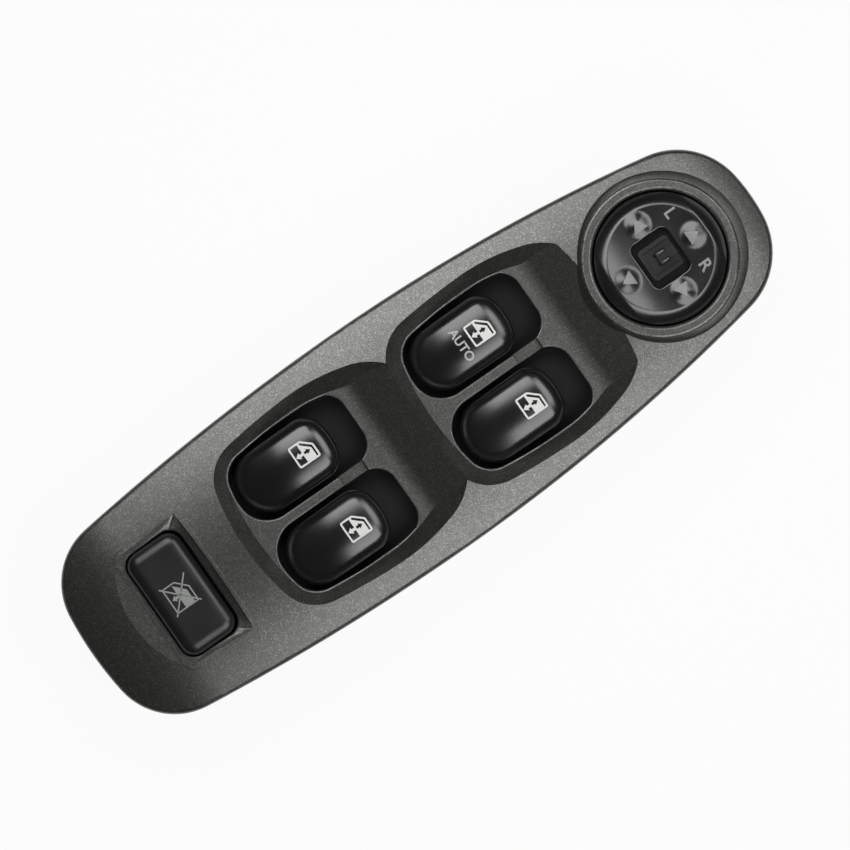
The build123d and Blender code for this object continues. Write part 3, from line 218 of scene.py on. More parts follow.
def surface(name, group, values, bump, distance, **shader):
    """Material of one shader group on the object's own coordinates, with its height as bump."""
    material = bpy.data.materials.new(name)
    material.use_nodes = True
    tree = material.node_tree
    shade = tree.nodes["Principled BSDF"]
    for socket, value in shader.items():
        shade.inputs[socket.replace("_", " ")].default_value = value
    place = tree.nodes.new("ShaderNodeTexCoord")
    effect = tree.nodes.new("ShaderNodeGroup")
    effect.node_tree = group
    for socket, value in values.items():
        effect.inputs[socket].default_value = value
    tree.links.new(place.outputs["Object"], effect.inputs["Vector"])
    tree.links.new(effect.outputs["Color"], shade.inputs["Base Color"])
    if "Roughness" in effect.outputs:
        tree.links.new(effect.outputs["Roughness"], shade.inputs["Roughness"])
    relief = tree.nodes.new("ShaderNodeBump")
    relief.inputs["Strength"].default_value = bump
    relief.inputs["Distance"].default_value = distance
    tree.links.new(effect.outputs["Height"], relief.inputs["Height"])
    tree.links.new(relief.outputs["Normal"], shade.inputs["Normal"])
    return material


def plastic(name, color, roughness, change, scale, bump, **shader):
    """Moulded plastic, resin, rubber or pressed metal."""
    values = {"Color": (*color, 1), "Roughness": roughness, "Change": change, "Scale": scale}
    return surface(name, moulded, values, bump, BUMP_DEPTH, **shader)


print("bump depth", BUMP_DEPTH)

# %% The materials of the record's slots
PAINT = {"Base": (0.1, 0.102, 0.096, 1), "Flake": (0.27, 0.275, 0.26, 1), "Scale": 4600.0}
# name: colour, roughness, change, scale, bump, and what the shader's own sockets hold
MOULDED_LOOKS = {
    "gloss_black": ((0.01, 0.01, 0.0105), 0.22, 0.3, 900.0, 0.03, {"Specular_IOR_Level": 1.0}),
    "dial_black": ((0.012, 0.0125, 0.0125), 0.24, 0.3, 2600.0, 0.04, {"Specular_IOR_Level": 1.0}),
    "button_black": ((0.012, 0.012, 0.0125), 0.3, 0.3, 2600.0, 0.06, {"Specular_IOR_Level": 0.6}),
    "carrier_black": ((0.008, 0.008, 0.008), 0.7, 0.3, 1800.0, 0.2, {"Specular_IOR_Level": 0.25}),
    "white_resin": ((0.72, 0.7, 0.66), 0.42, 0.15, 1200.0, 0.06, {"Subsurface_Weight": 0.05}),
    "board_green": ((0.02, 0.12, 0.05), 0.3, 0.5, 700.0, 0.1, {}),
    "chip_black": ((0.02, 0.02, 0.02), 0.6, 0.2, 3000.0, 0.2, {}),
    "silicone": ((0.28, 0.3, 0.32), 0.62, 0.25, 1500.0, 0.1, {}),
    "tinned_brass": ((0.7, 0.68, 0.6), 0.28, 0.3, 2500.0, 0.1, {"Metallic": 1.0}),
    "contact_brass": ((0.78, 0.56, 0.24), 0.25, 0.3, 2500.0, 0.1, {"Metallic": 1.0}),
    "spring_steel": ((0.5, 0.5, 0.5), 0.3, 0.3, 2200.0, 0.15, {"Metallic": 1.0}),
    "screw_steel": ((0.5, 0.5, 0.47), 0.35, 0.35, 1800.0, 0.15, {"Metallic": 1.0}),
}
looks = {"panel_grey": surface("panel_grey", flakes, PAINT, 0.2, 0.00007, Metallic=0.8, Roughness=0.3)}
for name, (*values, shader) in MOULDED_LOOKS.items():
    looks[name] = plastic(name, *values, **shader)
print("materials", len(looks))

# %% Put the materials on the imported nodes
slots = {part["node"]: part["material_slot"] for part in frame["record"]["subparts"]}
for name, node in frame["nodes"].items():
    for slot in node.material_slots:
        slot.material = looks[slots[name]]
print("dressed", len(slots), "nodes")

# %% [markdown]
# ## The controls that fingers touch
# On the real panel the knobs, the dial and the lock button are injection moulded shells with no flat
# face or sharp edge: each top is crowned or dished a little, and a soft round leads from it into the side.
# Such a shell could be boxed and rounded with a Bevel modifier, or sculpted. Here every shell is one
# profile carried round its own outline and worked out with numpy, because then the crown, the round and
# the wall are numbers that can be read and changed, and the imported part's sizes stay in sight.

# %% Outline of a moulded shell
CORNER_POINTS = 22


def loop_path(rear, front, half, rear_radius, front_radius, inset=0.0, bow=0.0, count=CORNER_POINTS):
    """Rounded rectangle from rear to front along X, half to each side of Y = 0, moved in by inset.

    Each corner is a quarter circle about its own centre, of its radius less the inset, and straight runs
    join them. The front side bows out by bow times one less the squared share of the half width.
    """
    turn = np.linspace(0, pi / 2, count)
    corners = []
    for along, across, start in ((1, 1, 0), (-1, 1, 1), (-1, -1, 2), (1, -1, 3)):
        radius = front_radius if along > 0 else rear_radius
        edge = front if along > 0 else rear
        angle = turn + start * pi / 2
        x = edge - along * radius + (radius - inset) * np.cos(angle)
        y = across * (half - radius) + (radius - inset) * np.sin(angle)
        corners.append(np.stack([x, y], -1))
    share = np.linspace(0, 1, count)[1:-1, None]
    runs = []
    for corner, after in zip(corners, corners[1:] + corners[:1]):
        runs += [corner, corner[-1] * (1 - share) + after[0] * share]
    path = np.concatenate(runs)
    ahead = np.clip((path[:, 0] - (front - front_radius)) / front_radius, 0, 1)
    path[:, 0] += bow * ahead * (1 - (path[:, 1] / half) ** 2)
    return path


def level_ring(path, z):
    """Ring of points over a path, all at one height or each at its own."""
    return np.column_stack([path, np.broadcast_to(z, len(path))])


print("outline points", len(loop_path(-1, 1, 1, 0.2, 0.2)))

# %% Mesh of a shell
MERGE_DISTANCE = 1e-7


def shell_mesh(name, rings, look, closed_ends=True):
    """Mesh of a shell: ring after ring of points, joined into quads.

    The first and the last ring are poles, or they join each other when closed_ends is off.
    """
    count = rings.shape[1]
    index = np.arange(len(rings) * count).reshape(len(rings), count)
    low, high = (index[:-1], index[1:]) if closed_ends else (index, np.roll(index, -1, 0))
    quads = np.stack([low, np.roll(low, -1, 1), np.roll(high, -1, 1), high], -1).reshape(-1, 4)
    mesh = bpy.data.meshes.new(name)
    mesh.from_pydata(rings.reshape(-1, 3).tolist(), [], quads.tolist())
    work = bmesh.new()
    work.from_mesh(mesh)
    bmesh.ops.remove_doubles(work, verts=work.verts, dist=MERGE_DISTANCE)
    bmesh.ops.recalc_face_normals(work, faces=work.faces)
    work.to_mesh(mesh)
    work.free()
    mesh.polygons.foreach_set("use_smooth", np.ones(len(mesh.polygons), bool))
    mesh.materials.append(look)
    piece = bpy.data.objects.new(name, mesh)
    bpy.context.scene.collection.objects.link(piece)
    return piece


def edge_drop(inset, width, depth):
    """Drop of a quarter ellipse, width across and depth down, at a distance inset from the outline."""
    return depth * (1 - np.sqrt(np.clip(1 - (1 - np.clip(inset / width, 0, 1)) ** 2, 0, 1)))


def round_insets(width, count):
    """Insets that run from width to nothing, closer together near the outline, where the round is steep."""
    return width * (1 - np.sin(np.linspace(0, pi / 2, count)))


print("drop at the outline", edge_drop(0.0, 1.0, 1.0))

# %% [markdown]
# ## Window knobs
# A real knob is a hollow cap with a round rear, a front that bows out to a finger lip, and an arched top
# that catches one soft highlight. A flat top with filleted edges shows a hard bright rim instead. So the
# top is a parabola along X, less a crown across Y, and a quarter ellipse rounds it into the wall. The lip
# slopes back under the top, where a finger pulls, and the inner wall closes the shell.

# %% Knob sizes
KNOB_MIDDLE_X = {"rear": -30.0 * MM, "front": 33.9 * MM}
KNOB_REAR, KNOB_FRONT = -27.0 * MM, 3.4 * MM
KNOB_LOW_Y, KNOB_HIGH_Y = 3.1 * MM, 23.3 * MM
KNOB_CORNERS = (9.4 * MM, 4.6 * MM)
KNOB_BOW = 2.3 * MM
KNOB_ARCH = np.polyfit([-0.027, -0.010, 0.0035], [0.0322, 0.0367, 0.0367], 2)
KNOB_CROWN = 1.7 * MM
KNOB_ROUND = (3.8 * MM, 2.8 * MM)
KNOB_SKIRT_Z = 26.2 * MM
KNOB_UNDERCUT, KNOB_LIP_REACH = 3.3 * MM, 3.2 * MM
KNOB_WALL = 1.9 * MM
print("knob", round((KNOB_FRONT - KNOB_REAR) / MM, 1), "by", round((KNOB_HIGH_Y - KNOB_LOW_Y) / MM, 1), "mm")

# %% Knob surface


def knob_rings(side):
    """Rings of a knob about the middle of its pocket.

    The top is a parabola along X less a crown that grows with the square of the place across, and a
    quarter ellipse rounds it into the wall. The wall drops straight to the skirt, except at the finger
    lip, where it slopes back under the top. The same profile, moved in by the wall, closes the shell.
    """
    half = (KNOB_HIGH_Y - KNOB_LOW_Y) / 2
    middle_y = (KNOB_HIGH_Y + KNOB_LOW_Y) / 2
    centre = np.array([(KNOB_REAR + KNOB_FRONT) / 2, 0.0])

    def outline(inset):
        return loop_path(KNOB_REAR, KNOB_FRONT, half, *KNOB_CORNERS, inset, KNOB_BOW)

    def top(path):
        return np.polyval(KNOB_ARCH, path[:, 0]) - KNOB_CROWN * (path[:, 1] / half) ** 2

    def wall_rings(path, path_top, shares):
        runs = []
        for share in shares:
            z = path_top * (1 - share) + KNOB_SKIRT_Z * share
            runs.append(np.column_stack([path[:, 0] - KNOB_UNDERCUT * share * lip, path[:, 1], z]))
        return runs

    rim, wall, inner = outline(KNOB_ROUND[0]), outline(0.0), outline(KNOB_WALL)
    lip = np.clip((wall[:, 0] - (KNOB_FRONT - KNOB_LIP_REACH)) / KNOB_LIP_REACH, 0, 1)
    rings = []
    for share in np.linspace(0, 1, 14)[:-1]:
        path = centre + share * (rim - centre)
        rings.append(level_ring(path, top(path)))
    for inset in round_insets(KNOB_ROUND[0], 12):
        path = outline(inset)
        rings.append(level_ring(path, top(path) - edge_drop(inset, *KNOB_ROUND)))
    rings += wall_rings(wall, top(wall) - KNOB_ROUND[1], (0.15, 0.4, 0.7, 1.0))
    inner_top = top(inner) - edge_drop(KNOB_WALL, *KNOB_ROUND) - KNOB_WALL
    rings += wall_rings(inner, inner_top, (1.0, 0.5, 0.0))
    for share in np.linspace(1, 0, 6)[1:]:
        path = centre + share * (inner - centre)
        rings.append(level_ring(path, top(path) - KNOB_WALL))
    rings = np.array(rings)
    rings[:, :, 1] = side * (rings[:, :, 1] + middle_y)
    return rings


shells = {}
for row, middle_x in KNOB_MIDDLE_X.items():
    for side_name, side in (("left", 1), ("right", -1)):
        node = f"{row}_{side_name}_knob"
        knob = shell_mesh(f"{node}_shell", knob_rings(side) + [middle_x, 0, 0], looks["gloss_black"])
        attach(knob, node)
        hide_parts(node)
        shells[node] = knob
print("knob shells", len(shells), "faces each", len(knob.data.polygons))

# %% [markdown]
# ## Lock button
# The lock button is a pillow: a nearly level top with a wide soft round, which shows as a bright band
# along its front and ends. It is the same kind of shell as a knob, with a very shallow dish along Y.

# %% Lock button surface
LOCK_MIDDLE = (-88.05 * MM, -0.12 * MM)
LOCK_HALF = (9.25 * MM, 17.9 * MM)
LOCK_CORNER = 4.4 * MM
LOCK_ROUND = (4.0 * MM, 2.6 * MM)
LOCK_DISH = 0.35 * MM
LOCK_WALL = 1.8 * MM
LOCK_TOP_Z, LOCK_CEILING_Z, LOCK_SHOULDER_Z, LOCK_SKIRT_Z = 38.2 * MM, 34.6 * MM, 34.0 * MM, 28.0 * MM


def lock_rings():
    """Rings of the lock button: a top that dips by a cosine along Y, rounded by a quarter ellipse."""

    def outline(inset):
        return loop_path(-LOCK_HALF[0], LOCK_HALF[0], LOCK_HALF[1], LOCK_CORNER, LOCK_CORNER, inset)

    def top(path):
        return LOCK_TOP_Z - LOCK_DISH * np.cos(np.clip(path[:, 1] / LOCK_HALF[1], -1, 1) * pi / 2)

    rim, wall, inner = outline(LOCK_ROUND[0]), outline(0.0), outline(LOCK_WALL)
    rings = [level_ring(share * rim, top(share * rim)) for share in np.linspace(0, 1, 10)[:-1]]
    for inset in round_insets(LOCK_ROUND[0], 14):
        path = outline(inset)
        rings.append(level_ring(path, top(path) - edge_drop(inset, *LOCK_ROUND)))
    rings += [level_ring(wall, z) for z in (LOCK_SHOULDER_Z, LOCK_SKIRT_Z)]
    rings += [level_ring(inner, z) for z in (LOCK_SKIRT_Z, LOCK_CEILING_Z)]
    rings += [level_ring(share * inner, LOCK_CEILING_Z) for share in (0.6, 0.0)]
    return np.array(rings) + [*LOCK_MIDDLE, 0]


lock = shell_mesh("lock_button_shell", lock_rings(), looks["button_black"])
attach(lock, "lock_button")
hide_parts("lock_button")
shells["lock_button"] = lock
print("lock button faces", len(lock.data.polygons))

# %% [markdown]
# ### Its legs
# Two legs guide the button and a plunger between them presses its dome. Turned parts like these are a
# profile of radius and height carried round an upright line, which closes at both ends by itself.

# %% Guide legs and plunger
LEG_CHAMFER = 0.4
# name, place along Y, radius and foot height, all in millimetres
LOCK_LEGS = (("left", 12.0, 2.4, 18.0), ("right", -12.0, 2.4, 18.0), ("plunger", 0.0, 1.8, 16.6))


def lathe_rings(profile, x, y, count=40):
    """Rings of a profile of (radius, height) pairs turned about the upright line through x and y."""
    angle = np.linspace(0, 2 * pi, count, endpoint=False)
    circle = np.stack([np.cos(angle), np.sin(angle)], -1)
    return np.array([level_ring(radius * circle + [x, y], height) for radius, height in profile])


for name, y, radius, foot in LOCK_LEGS:
    ceiling = LOCK_CEILING_Z / MM
    chamfer = [(radius - LEG_CHAMFER, foot), (radius, foot + LEG_CHAMFER)]
    profile = np.array([(0, foot), *chamfer, (radius, ceiling), (0, ceiling)]) * MM
    leg = shell_mesh(f"lock_{name}_leg", lathe_rings(profile, LOCK_X, y * MM), looks["button_black"])
    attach(leg, "lock_button")
print("legs", len(LOCK_LEGS))

# %% [markdown]
# ## Painted edge of the lock recess
# The real panel turns down towards the lock button in one soft painted edge, steep and dark in front and
# bright at the ends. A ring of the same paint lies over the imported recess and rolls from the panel's own
# height to the gap. Its outer height is read from the panel by casting a ray down at each point.

# %% Height of what lies below
CAST_FROM = 0.08


def surface_tree(name):
    """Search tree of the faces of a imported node, or of the shell that stands for it."""
    mesh = shells.get(name, frame["nodes"][name]).data
    return BVHTree.FromPolygons([v.co for v in mesh.vertices], [p.vertices for p in mesh.polygons])


def heights(tree, path):
    """Height of the surface right under each point of a path, or nan where there is none."""
    hits = [tree.ray_cast(Vector((x, y, CAST_FROM)), Vector((0, 0, -1)))[0] for x, y in path]
    return np.array([hit.z if hit else np.nan for hit in hits])


panel_tree = surface_tree("bezel")
print("panel height by the lock", round(float(heights(panel_tree, [(LOCK_X + 0.018, 0)])[0]), 4))

# %% Recess edge surface
RECESS_OUTER = (-99.6 * MM, -74.3 * MM, 21.2 * MM)
RECESS_INNER = (-97.75 * MM, -77.95 * MM, 18.35 * MM)
RECESS_CORNERS = (3.6 * MM, 4.6 * MM)
RECESS_LIFT = 0.03 * MM
RECESS_FLOOR_Z, RECESS_INNER_Z = 34.4 * MM, 34.45 * MM
RECESS_THICK = 1.2 * MM
RECESS_FRONT_REACH, RECESS_FRONT_POWER = 4 * MM, 1.25

outer_path = loop_path(*RECESS_OUTER, RECESS_CORNERS[0], RECESS_CORNERS[0]) + [0, LOCK_MIDDLE[1]]
inner_path = loop_path(*RECESS_INNER, RECESS_CORNERS[1], RECESS_CORNERS[1]) + [0, LOCK_MIDDLE[1]]
outer_z = heights(panel_tree, outer_path) + RECESS_LIFT
outer_z = np.where(np.isnan(outer_z), RECESS_FLOOR_Z, outer_z)
ahead = np.clip((outer_path[:, 0] - RECESS_OUTER[1]) / RECESS_FRONT_REACH + 1, 0, 1)
edge_rings = []
for share in np.linspace(0, 1, 14):
    # a near-straight slope in front, and a quarter circle's roll at the sides and ends
    fall = ahead * share**RECESS_FRONT_POWER + (1 - ahead) * (1 - np.sqrt(1 - share**2))
    path = outer_path * (1 - share) + inner_path * share
    edge_rings.append(level_ring(path, outer_z * (1 - fall) + RECESS_INNER_Z * fall))
edge_rings.append(level_ring(inner_path, RECESS_INNER_Z - RECESS_THICK))
edge_rings.append(level_ring(outer_path, np.minimum(outer_z, RECESS_INNER_Z) - RECESS_THICK))
recess = shell_mesh("lock_recess_edge", np.array(edge_rings), looks["panel_grey"], closed_ends=False)
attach(recess, "panel")
print("recess edge heights", round(float(outer_z.min()), 5), round(float(outer_z.max()), 5))

# %% [markdown]
# ## Light shields
# Between the panel and the carrier below it a low view would run out under the rim and show the bright
# floor. A thin black wall round each well closes that space, and could be drawn by hand for each. Here
# a wall is one ring that stands on the carrier and ends inside the panel, whose height rays measure.

# %% Walls round the three wells
SHIELD_FOOT_Z = 22.0 * MM
SHIELD_WALL, SHIELD_SINK = 0.6 * MM, 1.3 * MM
WELLS = {row: (x - 29.7 * MM, x + 15.4 * MM, 26.5 * MM, 8 * MM, 6 * MM) for row, x in KNOB_MIDDLE_X.items()}
WELLS["lock"] = (-99.4 * MM, -76.7 * MM, 19.6 * MM, 5 * MM, 5 * MM)
for row, ends in WELLS.items():
    outer, inner = loop_path(*ends), loop_path(*ends, inset=SHIELD_WALL)
    lid = heights(panel_tree, inner) - SHIELD_SINK
    sides = ((outer, SHIELD_FOOT_Z), (outer, lid), (inner, lid), (inner, SHIELD_FOOT_Z))
    rings = np.array([level_ring(path, z) for path, z in sides])
    shield = shell_mesh(f"{row}_well_shield", rings, looks["carrier_black"], closed_ends=False)
    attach(shield, "panel")
print("shields", len(WELLS))

# %% [markdown]
# ## Mirror dial
# The dial is one disc with a square well in its middle, four low domes under the fingertip, a shallow
# trough that catches the light on one side, and a sloping shoulder. A disc with a square hole has no
# simple radial grid, so each ring blends the well's outline into a circle by its share of the way out.

# %% Dial surface
DIAL_RADIUS = 19.8 * MM
DIAL_ROUND, DIAL_ROUND_POWER = (3.9 * MM, 2.7 * MM), 1.5
DIAL_RIM_Z = 41.2 * MM
DIAL_DISH, DIAL_DISH_POWER = 1.5 * MM, 3.2
DIAL_WELL = (-6.3 * MM, 6.3 * MM, 7.55 * MM, 2.1 * MM, 2.1 * MM)
WELL_POINTS, WELL_FOOT_Z, WELL_ROUND = 30, 38.6 * MM, 0.5 * MM
DOME_RADIUS, DOME_HEIGHT, DOME_CIRCLE = 4.6 * MM, 1.05 * MM, 11.9 * MM
DIRECTIONS = {"front": (1, 0), "rear": (-1, 0), "left": (0, 1), "right": (0, -1)}
# radius and height of the dial's side and underside, in millimetres
DIAL_SKIRT = ((19.8, 35.5), (19.8, 33.0), (18.0, 33.0), (18.0, 38.3), (14.0, 38.6))
CREST = DIAL_RADIUS - DIAL_ROUND[0]


def dial_top(path):
    """Height of the dial: a trough across it that rises with the distance along X to a power, plus domes.

    Each dome is its height times the square of one less the squared share of its radius.
    """
    z = DIAL_RIM_Z - DIAL_DISH * (1 - np.clip(np.abs(path[..., 0]) / CREST, 0, 1) ** DIAL_DISH_POWER)
    for dx, dy in DIRECTIONS.values():
        reach = np.hypot(path[..., 0] - DOME_CIRCLE * dx, path[..., 1] - DOME_CIRCLE * dy) / DOME_RADIUS
        z = z + DOME_HEIGHT * np.clip(1 - reach**2, 0, 1) ** 2
    return z


def dial_rings():
    """Rings of the dial: up the well, over its lip, out to the crest, down the shoulder and back below."""
    well = loop_path(*DIAL_WELL, count=WELL_POINTS)
    angle = np.arctan2(well[:, 1], well[:, 0])
    circle = np.stack([np.cos(angle), np.sin(angle)], -1)
    rings = [level_ring(well, WELL_FOOT_Z)]
    for turn in np.linspace(0, pi / 2, 5):
        path = loop_path(*DIAL_WELL, inset=-WELL_ROUND * (1 - np.cos(turn)), count=WELL_POINTS)
        rings.append(level_ring(path, dial_top(path) - WELL_ROUND * (1 - np.sin(turn))))
    lip = loop_path(*DIAL_WELL, inset=-WELL_ROUND, count=WELL_POINTS)
    for share in np.linspace(0, 1, 60)[1:]:
        path = lip * (1 - share) + circle * CREST * share
        rings.append(level_ring(path, dial_top(path)))
    for inset in round_insets(DIAL_ROUND[0], 16)[1:]:
        path = circle * (DIAL_RADIUS - inset)
        drop = DIAL_ROUND[1] * (1 - inset / DIAL_ROUND[0]) ** DIAL_ROUND_POWER
        rings.append(level_ring(path, dial_top(path) - drop))
    rings += [level_ring(circle * radius * MM, z * MM) for radius, z in DIAL_SKIRT]
    return np.array(rings) + [DIAL_X, 0, 0]


dial = shell_mesh("mirror_dial_shell", dial_rings(), looks["dial_black"], closed_ends=False)
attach(dial, "mirror_dial")
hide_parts("mirror_dial")
shells["mirror_dial"] = dial
print("dial faces", len(dial.data.polygons))

# %% [markdown]
# ## Ribs on the selector
# Two small ribs on the selector's tongue give a fingernail its grip and show as two thin bright lines.
# Each is a long rounded bump: one outline that shrinks as it rises.

# %% Selector ribs
RIB_X, RIB_Y = 87.6 * MM, 1.45 * MM
RIB_LENGTH_SHARE, RIB_ROUND_SHARE, RIB_POINTS = 4, 0.9, 6
# half width and height of the rib's rings, in millimetres
RIB_PROFILE = ((0.001, 39.5), (0.5, 39.5), (0.42, 39.8), (0.2, 39.95), (0.001, 39.97))
rib_rings = []
for reach, z in RIB_PROFILE:
    reach *= MM
    ends = RIB_LENGTH_SHARE * reach
    corner = RIB_ROUND_SHARE * reach
    rib_rings.append(level_ring(loop_path(-ends, ends, reach, corner, corner, count=RIB_POINTS), z * MM))
for side_name, y in (("left", RIB_Y), ("right", -RIB_Y)):
    rib = shell_mesh(f"selector_{side_name}_rib", np.array(rib_rings) + [RIB_X, y, 0], looks["dial_black"])
    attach(rib, "mirror_selector")
print("rib faces", len(rib.data.polygons))

# %% [markdown]
# ## Printed marks
# The marks are pad printed: a thin film of ink that follows the surface. An image texture would blur and
# a decal plane would float, so each mark is a flat outline that is cut into triangles, divided finely and
# dropped on the surface below it. Outlines are lists of points in pixels about the mark's middle.

# %% Inks and the laying of a mark
INK = 0.00004
MARK_START_Z = 0.06
NOTHING_BELOW_Z = 0.04
LONGEST_EDGE = 0.0006
DIVISIONS = 4
ink_white = plastic("mark_white", (0.8, 0.8, 0.78), 0.5, 0.1, 2500.0, 0.05)
ink_pale = plastic("mark_pale", (0.52, 0.53, 0.52), 0.5, 0.1, 2500.0, 0.05)
ink_grey = plastic("mark_grey", (0.3, 0.31, 0.3), 0.5, 0.1, 2500.0, 0.05)


def lay_on(piece, node):
    """Divides a flat piece finely, turns its faces up and drops its points on the node below."""
    work = bmesh.new()
    work.from_mesh(piece.data)
    bmesh.ops.remove_doubles(work, verts=work.verts, dist=MERGE_DISTANCE)
    for _ in range(DIVISIONS):
        long_edges = [edge for edge in work.edges if edge.calc_length() > LONGEST_EDGE]
        bmesh.ops.subdivide_edges(work, edges=long_edges, cuts=1)
        bmesh.ops.triangulate(work, faces=work.faces)
    for face in work.faces:
        if face.normal.z < 0:
            face.normal_flip()
    work.to_mesh(piece.data)
    work.free()
    points = np.empty(3 * len(piece.data.vertices), np.float32)
    piece.data.vertices.foreach_get("co", points)
    points = points.reshape(-1, 3)
    below = heights(surface_tree(node), points[:, :2].tolist())
    points[:, 2] = np.where(np.isnan(below), NOTHING_BELOW_Z, below) + INK
    piece.data.vertices.foreach_set("co", points.ravel())
    piece.data.update()


def mark_piece(name, mesh, node, ink):
    """Lays a flat mesh on a node as ink that rides with the node's body of the same name."""
    piece = bpy.data.objects.new(name, mesh)
    bpy.context.scene.collection.objects.link(piece)
    lay_on(piece, node)
    mesh.materials.clear()
    mesh.materials.append(ink)
    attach(piece, node)
    return piece


def laid_mesh(name, loops_list, origin, node, ink):
    """Lays shapes, each a list of loops whose later loops are holes, on top of a node."""
    points, faces = [], []
    for loops in loops_list:
        flat = [[Vector((x, y, 0)) for x, y in loop] for loop in loops]
        faces += [tuple(len(points) + index for index in face) for face in tessellate_polygon(flat)]
        points += [point.xy for loop in flat for point in loop]
    places = level_ring(np.array(points, float) * PIXEL + origin, MARK_START_Z)
    mesh = bpy.data.meshes.new(name)
    mesh.from_pydata(places.tolist(), [], faces)
    return mark_piece(name, mesh, node, ink)


print("inks", [ink.name for ink in (ink_white, ink_pale, ink_grey)])

# %% Corner and bar helpers


def rounded(points, radius, steps=5):
    """Loop whose corners are parabolas from and to radius / tan(half angle), or 0.45 of a shorter side."""
    loop = []
    share = np.linspace(0, 1, steps + 1)[:, None]
    corners = np.array(points, float)
    for before, here, after in zip(np.roll(corners, 1, 0), corners, np.roll(corners, -1, 0)):
        runs = [np.linalg.norm(side - here) for side in (before, after)]
        to_before, to_after = (before - here) / runs[0], (after - here) / runs[1]
        half = np.arccos(np.clip(to_before @ to_after, -1, 1)) / 2
        reach = min(radius / np.tan(half), 0.45 * runs[0], 0.45 * runs[1])
        start, end = here + to_before * reach, here + to_after * reach
        bend = (1 - share) ** 2 * start + 2 * share * (1 - share) * here + share**2 * end
        loop += [tuple(point) for point in bend]
    return loop


def strip(start, end, width):
    """Straight bar of a width between two points, as a loop."""
    (x0, y0), (x1, y1) = start, end
    run = hypot(x1 - x0, y1 - y0)
    nx, ny = -(y1 - y0) / run * width / 2, (x1 - x0) / run * width / 2
    return [(x0 + nx, y0 + ny), (x1 + nx, y1 + ny), (x1 - nx, y1 - ny), (x0 - nx, y0 - ny)]


print("rounded square has", len(rounded([(0, 0), (1, 0), (1, 1), (0, 1)], 0.2)), "points")

# %% [markdown]
# ### Window pictograms
# Each knob carries the usual car window with an arrow each way. It is drawn as a frame with a hole, a
# filled half pane with an arrow cut out of it, and a solid arrow.

# %% Window pictograms on the knobs
window_outer = [(-12.5, -12), (12.5, -12), (12.5, 2.5), (2, 12), (-12.5, 12)]
window_inner = [(-10.6, -10.1), (10.6, -10.1), (10.6, 1.7), (1.3, 10.1), (-10.6, 10.1)]
glass = [(-2.4, -10.4), (8.6, -10.4), (8.6, 0.2), (2.4, 5.8), (-0.4, 8.4), (0.6, 10.4), (-2.4, 10.4)]
arrow_hole = [(-0.6, -2.4), (2.4, -2.4), (2.4, -4.1), (6.6, -1), (2.4, 2.1), (2.4, 0.4), (-0.6, 0.4)]
arrow = [(-2.2, -2.5), (-5.6, -2.5), (-5.6, -4.6), (-10.4, -1), (-5.6, 2.6), (-5.6, 0.5), (-2.2, 0.5)]
pictogram = [
    [rounded(window_outer, 2.4), rounded(window_inner, 1.2)[::-1]],
    [glass, arrow_hole[::-1]],
    [arrow],
]
symbol_spots = {
    "rear_left": (-101.5, -46), "rear_right": (-101.5, 44.5),
    "front_left": (111, -45), "front_right": (112, 44),
}
for window, (u, t) in symbol_spots.items():
    laid_mesh(f"{window}_symbol", pictogram, spot(u, t), f"{window}_knob", ink_white)
print("pictograms", len(symbol_spots))

# %% [markdown]
# ### Letters
# AUTO on the driver's knob and L and R by the selector are plain capitals whose tops point along +X. A
# text object gives their outline. It is made a mesh before it is turned and placed, so that the finished
# piece sits at the origin, unturned, like every other piece.

# %% Letters
LETTER_WEIGHT, LETTER_CURVE_STEPS = 0.02, 4


def letters(name, text, centre, height, node, ink):
    """Letters of a height whose tops point along +X, laid on a node about a centre."""
    curve = bpy.data.curves.new(name, "FONT")
    curve.body = text
    curve.size = 1.0
    curve.align_x = "CENTER"
    curve.offset = LETTER_WEIGHT
    curve.resolution_u = LETTER_CURVE_STEPS
    writer = bpy.data.objects.new(name, curve)
    bpy.context.scene.collection.objects.link(writer)
    graph = bpy.context.evaluated_depsgraph_get()
    mesh = bpy.data.meshes.new_from_object(writer.evaluated_get(graph))
    bpy.data.objects.remove(writer)
    points = np.empty(3 * len(mesh.vertices), np.float32)
    mesh.vertices.foreach_get("co", points)
    flat = points.reshape(-1, 3)[:, :2].astype(float)
    low, high = flat.min(0), flat.max(0)
    along, up = ((flat - (low + high) / 2) * height / (high[1] - low[1])).T
    places = level_ring(np.column_stack([centre[0] + up, centre[1] - along]), MARK_START_Z)
    mesh.vertices.foreach_set("co", places.astype(np.float32).ravel())
    return mark_piece(name, mesh, node, ink)


letters("auto_letters", "AUTO", spot(88.4, -43.5), 9.6 * PIXEL, "front_left_knob", ink_pale)
letters("left_letter", "L", spot(333.5, -31.5), 12.5 * PIXEL, "mirror_dial", ink_grey)
letters("right_letter", "R", spot(332.5, 31), 12.5 * PIXEL, "mirror_dial", ink_grey)
print("letters laid")

# %% [markdown]
# ### Arrows and the crossed window
# One triangle serves all four arrows of the dial: it is turned by swapping and negating its coordinates,
# so that each points away from the middle. The lock button has the window again, crossed by two bars.

# %% Arrows on the dial
ARROW_SIZE = (16.5, 13.0)
ARROW_ROUND, ARROW_STEPS = 0.8, 3
half, tall = ARROW_SIZE[0] / 2, ARROW_SIZE[1] / 2
triangle = [(-tall, -half), (tall, 0), (-tall, half)]
for way, (dx, dy) in DIRECTIONS.items():
    turned = [(x * dx - y * dy, x * dy + y * dx) for x, y in triangle]
    middle = (DIAL_X + DOME_CIRCLE * dx, DOME_CIRCLE * dy)
    outline = rounded(turned, ARROW_ROUND, ARROW_STEPS)
    laid_mesh(f"dial_{way}_arrow", [[outline]], middle, "mirror_dial", ink_grey)
print("arrows", len(DIRECTIONS))

